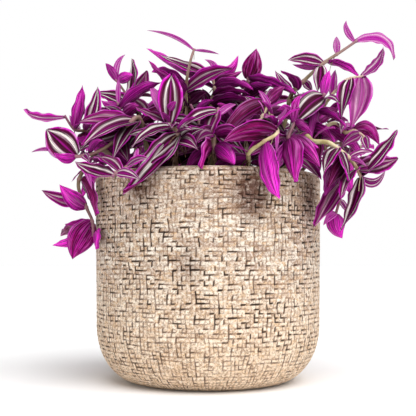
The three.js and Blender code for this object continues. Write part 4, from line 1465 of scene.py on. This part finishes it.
def leaf_under_material():
    """Magenta and maroon with fine veins along the leaf, some leaves darker than others; a painted sheen
    and painted shade towards the base.
    """
    shader = Shader("leaf_under")
    along, away, seed, noises = leaf_fields(shader)
    streak, vein, blotch = noises
    tone = shader.plus(shader.times(seed, 0.7), shader.times(blotch, 0.4, shader.times(streak, 0.5)))
    deep = shader.ramp(
        tone, (0.34, (0.022, 0.0003, 0.005)), (0.64, (0.20, 0.002, 0.085)), (0.94, (0.76, 0.026, 0.55))
    )
    veined = shader.mix(1.0, deep, shader.ramp(vein, (0.38, 0.15), (0.5, 0.85), (0.6, 1.9)), "MULTIPLY")
    # Painted sheen: pale pink streaks over the veined colour
    painted_sheen = shader.over(veined, (0.74, 0.22, 0.58), streak, (0.52, 0.0), (0.68, 0.7))
    # Painted shade: the underside goes dark towards the leaf's base
    base = shader.times(shader.math("SUBTRACT", 1.0, along), 0.65)
    shaded = shader.mix(base, painted_sheen, (0.020, 0.0005, 0.005))
    rib = shader.over(shaded, (0.46, 0.008, 0.33), away, (0.02, 0.45), (0.06, 0.0))
    return finish_leaf(
        shader, rib, away, noises, margin=((0.88, 0.0), (0.97, 0.8)),
        rim_highlight=(0.7, (0.95, 0.44, 0.84)), young=((0.62, 0.015, 0.48), (0.76, 0.26, 0.64)), share=0.8,
    )


def sheath_material():
    """Papery brown of dried leaf sheaths."""
    shader = Shader("dry_sheath")
    patch = shader.noise(shader.place(), 260.0, 3.0, 0.7)
    colour = shader.ramp(
        patch, (0.35, (0.03, 0.012, 0.008)), (0.5, (0.11, 0.05, 0.03)), (0.66, (0.36, 0.22, 0.15))
    )
    return shader.finish(Base_Color=colour, Roughness=0.8, Specular_IOR_Level=0.2)


def stem_material():
    """Dark olive and brown skin, pale on some stems, pink at the joints."""
    shader = Shader("stem_skin")
    along, joint, _ = shader.split(shader.field("blade")["Vector"])
    place = shader.place()
    patch = shader.noise(place, 60.0)
    dark = shader.ramp(
        patch, (0.35, (0.05, 0.015, 0.015)), (0.55, (0.12, 0.085, 0.03)), (0.7, (0.22, 0.10, 0.08))
    )
    light = shader.ramp(
        patch, (0.35, (0.46, 0.38, 0.15)), (0.5, (0.70, 0.64, 0.34)), (0.68, (0.78, 0.64, 0.50))
    )
    skin = shader.mix(shader.field("young")["Fac"], dark, light)
    pinked = shader.mix(shader.times(joint, 0.35), skin, (0.45, 0.2, 0.26))
    end = shader.times(shader.math("POWER", along, 3.0), 0.4)
    return shader.finish(
        Base_Color=shader.mix(end, pinked, (0.4, 0.06, 0.28)), Roughness=0.42, Specular_IOR_Level=0.3,
        Normal=shader.bump(shader.noise(place, 900.0, 2.0), 0.0002, 0.4),
    )


# Colours of the pot
SANDS = [(0.52, 0.38, 0.29), (0.62, 0.48, 0.37), (0.70, 0.57, 0.45)]
TAN = (0.76, 0.50, 0.27)
DULL = (0.38, 0.26, 0.20)
CREAM = (0.94, 0.86, 0.74)
WARM = (0.94, 0.69, 0.45)
GRAIN = (0.27, 0.16, 0.10)
GLINT = (0.95, 0.89, 0.82)
# Painted shade along and in the weave's grooves
GROOVE_EDGE_SHADE = (0.24, 0.14, 0.09)
GROOVE_SHADE = (0.022, 0.013, 0.009)
STAIN_AND_SHADOW_BROWN = (0.20, 0.12, 0.11)
UNDER_FOLIAGE_SHADE = (0.68, 0.60, 0.55)


def stain_and_shadow_spots(shader, place):
    """How stained or shadowed each place is: the sum of the round stains and painted leaf shadows,
    squeezed to stand taller.
    """
    total = 0.0
    squeezed = shader.vectors("MULTIPLY", place, (1, 1, STAIN_AND_SHADOW_SQUEEZE))["Vector"]
    for (x, y, z), reach, strength in STAINS_AND_LEAF_SHADOWS:
        middle = (MM * x, MM * y, MM * z * STAIN_AND_SHADOW_SQUEEZE)
        apart = shader.vectors("DISTANCE", squeezed, middle)["Value"]
        spot = shader.math("MAXIMUM", shader.times(apart, -1 / (MM * reach), 1.0), 0.0)
        total = shader.times(spot, strength, total)
    return total


def pot_material():
    """Cast stone: grey sand, cream and tan strands, painted shade in the grooves, and stains with painted
    leaf shadows and painted shade below the rim.
    """
    shader = Shader("woven_stone")
    groove, lift, height = shader.split(shader.field("weave")["Vector"])
    place = shader.place()
    flat_place = shader.vectors("MULTIPLY", place, (1, 1, STRAND_SQUEEZE))["Vector"]
    patch = shader.noise(place, 20.0, 3.0, 0.6)
    strand = shader.noise(flat_place, 170.0, 3.0, 0.7)
    other = shader.noise(flat_place, 230.0, 3.0, 0.7)
    fine = shader.noise(place, 640.0, 3.0, 0.85)
    # Painted shade in the weave's grooves, broken up by the fine grain
    groove_shade_mask = shader.times(groove, shader.times(fine, 0.8, 0.6))
    level = shader.times(height, 1 / POT_HEIGHT)
    stained_and_shaded = shader.times(stain_and_shadow_spots(shader, place), shader.times(strand, 3.0, -0.5))
    stone = shader.ramp(patch, *zip((0.35, 0.5, 0.65), SANDS))
    for colour, value, start, end, blend in (
        (TAN, strand, (0.46, 0.0), (0.6, 0.85), "MIX"),
        (DULL, shader.times(lift, -0.3, other), (0.36, 0.0), (0.46, 0.45), "MIX"),
        (CREAM, shader.times(lift, 0.24, other), (0.56, 0.0), (0.74, 0.9), "MIX"),
        (WARM, level, (0.0, 0.7), (0.6, 0.0), "MIX"),
        (GRAIN, fine, (0.38, 0.9), (0.5, 0.0), "MIX"),
        (GLINT, fine, (0.53, 0.0), (0.65, 0.7), "MIX"),
        (GROOVE_EDGE_SHADE, groove_shade_mask, (0.04, 0.0), (0.3, 0.7), "MIX"),
        (GROOVE_SHADE, groove_shade_mask, (0.24, 0.0), (0.6, 0.97), "MIX"),
        # Stains and painted shadows of the leaves, darkening below the rim
        (STAIN_AND_SHADOW_BROWN, stained_and_shaded, (0.1, 0.0), (0.7, 0.95), "MULTIPLY"),
        # Painted shade: darker towards the rim, under the overhanging leaves
        (UNDER_FOLIAGE_SHADE, level, (0.72, 0.0), (0.96, 0.5), "MULTIPLY"),
    ):
        stone = shader.over(stone, colour, value, start, end, blend=blend)
    return shader.finish(
        Base_Color=stone, Roughness=0.9, Specular_IOR_Level=0.2, Normal=shader.bump(fine, 0.0012, 0.8)
    )


def soil_material():
    """Dark crumbs."""
    shader = Shader("soil_dark")
    crumbs = shader.noise(shader.place(), 420.0, 5.0, 0.7)
    colour = shader.ramp(
        crumbs, (0.35, (0.008, 0.005, 0.003)), (0.6, (0.04, 0.024, 0.014)), (0.75, (0.11, 0.07, 0.045))
    )
    return shader.finish(Base_Color=colour, Roughness=0.95, Normal=shader.bump(crumbs, 0.002, 0.9))


def make_sky():
    """A white studio that dims overhead, so that the lamp does most of the lighting."""
    sky = Shader("studio", world=True)
    bpy.context.scene.world = sky.owner
    height = sky.split(sky.place("Generated"))["Z"]
    colour = sky.ramp(height, (SKY_BRIGHT_TO, 1.0), (SKY_DIM_FROM, SKY_DIM))
    sky.join(colour, sky.tree.nodes["Background"], "Color")
    sky.join(1.0, sky.tree.nodes["Background"], "Strength")


def place_in_scene(name, data, place, turn):
    made = bpy.data.objects.new(name, data)
    made.location, made.rotation_euler = place, turn
    bpy.context.scene.collection.objects.link(made)
    return made


def make_stage():
    """A pale floor, soft studio light and the camera at the photograph's place."""
    bpy.ops.mesh.primitive_plane_add(size=FLOOR_SIZE, location=(0, 0, -FLOOR_DROP))
    floor = bpy.context.object
    floor.name = "studio_floor"
    floor.data.materials.append(Shader("floor_pale").finish(Base_Color=(0.93, 0.93, 0.93), Roughness=1.0))

    make_sky()
    sun = bpy.data.lights.new("key", "SUN")
    sun.energy = SUN_STRENGTH
    sun.angle = SUN_SOFTNESS
    place_in_scene("key", sun, SUN_FROM, Vector(SUN_FROM).to_track_quat("Z", "Y").to_euler())

    bpy.context.scene.view_settings.view_transform = "Standard"
    camera = bpy.data.cameras.new("camera")
    camera.sensor_width = SENSOR
    camera.lens = SIGHT / PHOTO_WIDTH * SENSOR
    bpy.context.scene.camera = place_in_scene(
        "camera", camera, (0, -EYE_BACK * MM, EYE_HEIGHT * MM), (math.pi / 2 + EYE_TILT, 0, 0)
    )


def main():
    materials = [leaf_top_material(), leaf_under_material(), stem_material(), sheath_material()]
    stems = all_stems()
    add_small_leaves(stems, mulberry(SMALL_SEED))
    measure_shade_occlusion(stems)
    draw, thread_draw = mulberry(BLADE_SEED), mulberry(THREAD_SEED)
    for stem in stems:
        leafy_stem(stem, materials, draw, thread_draw)
    make_pot(pot_material())
    make_soil(soil_material())
    make_stage()


main()
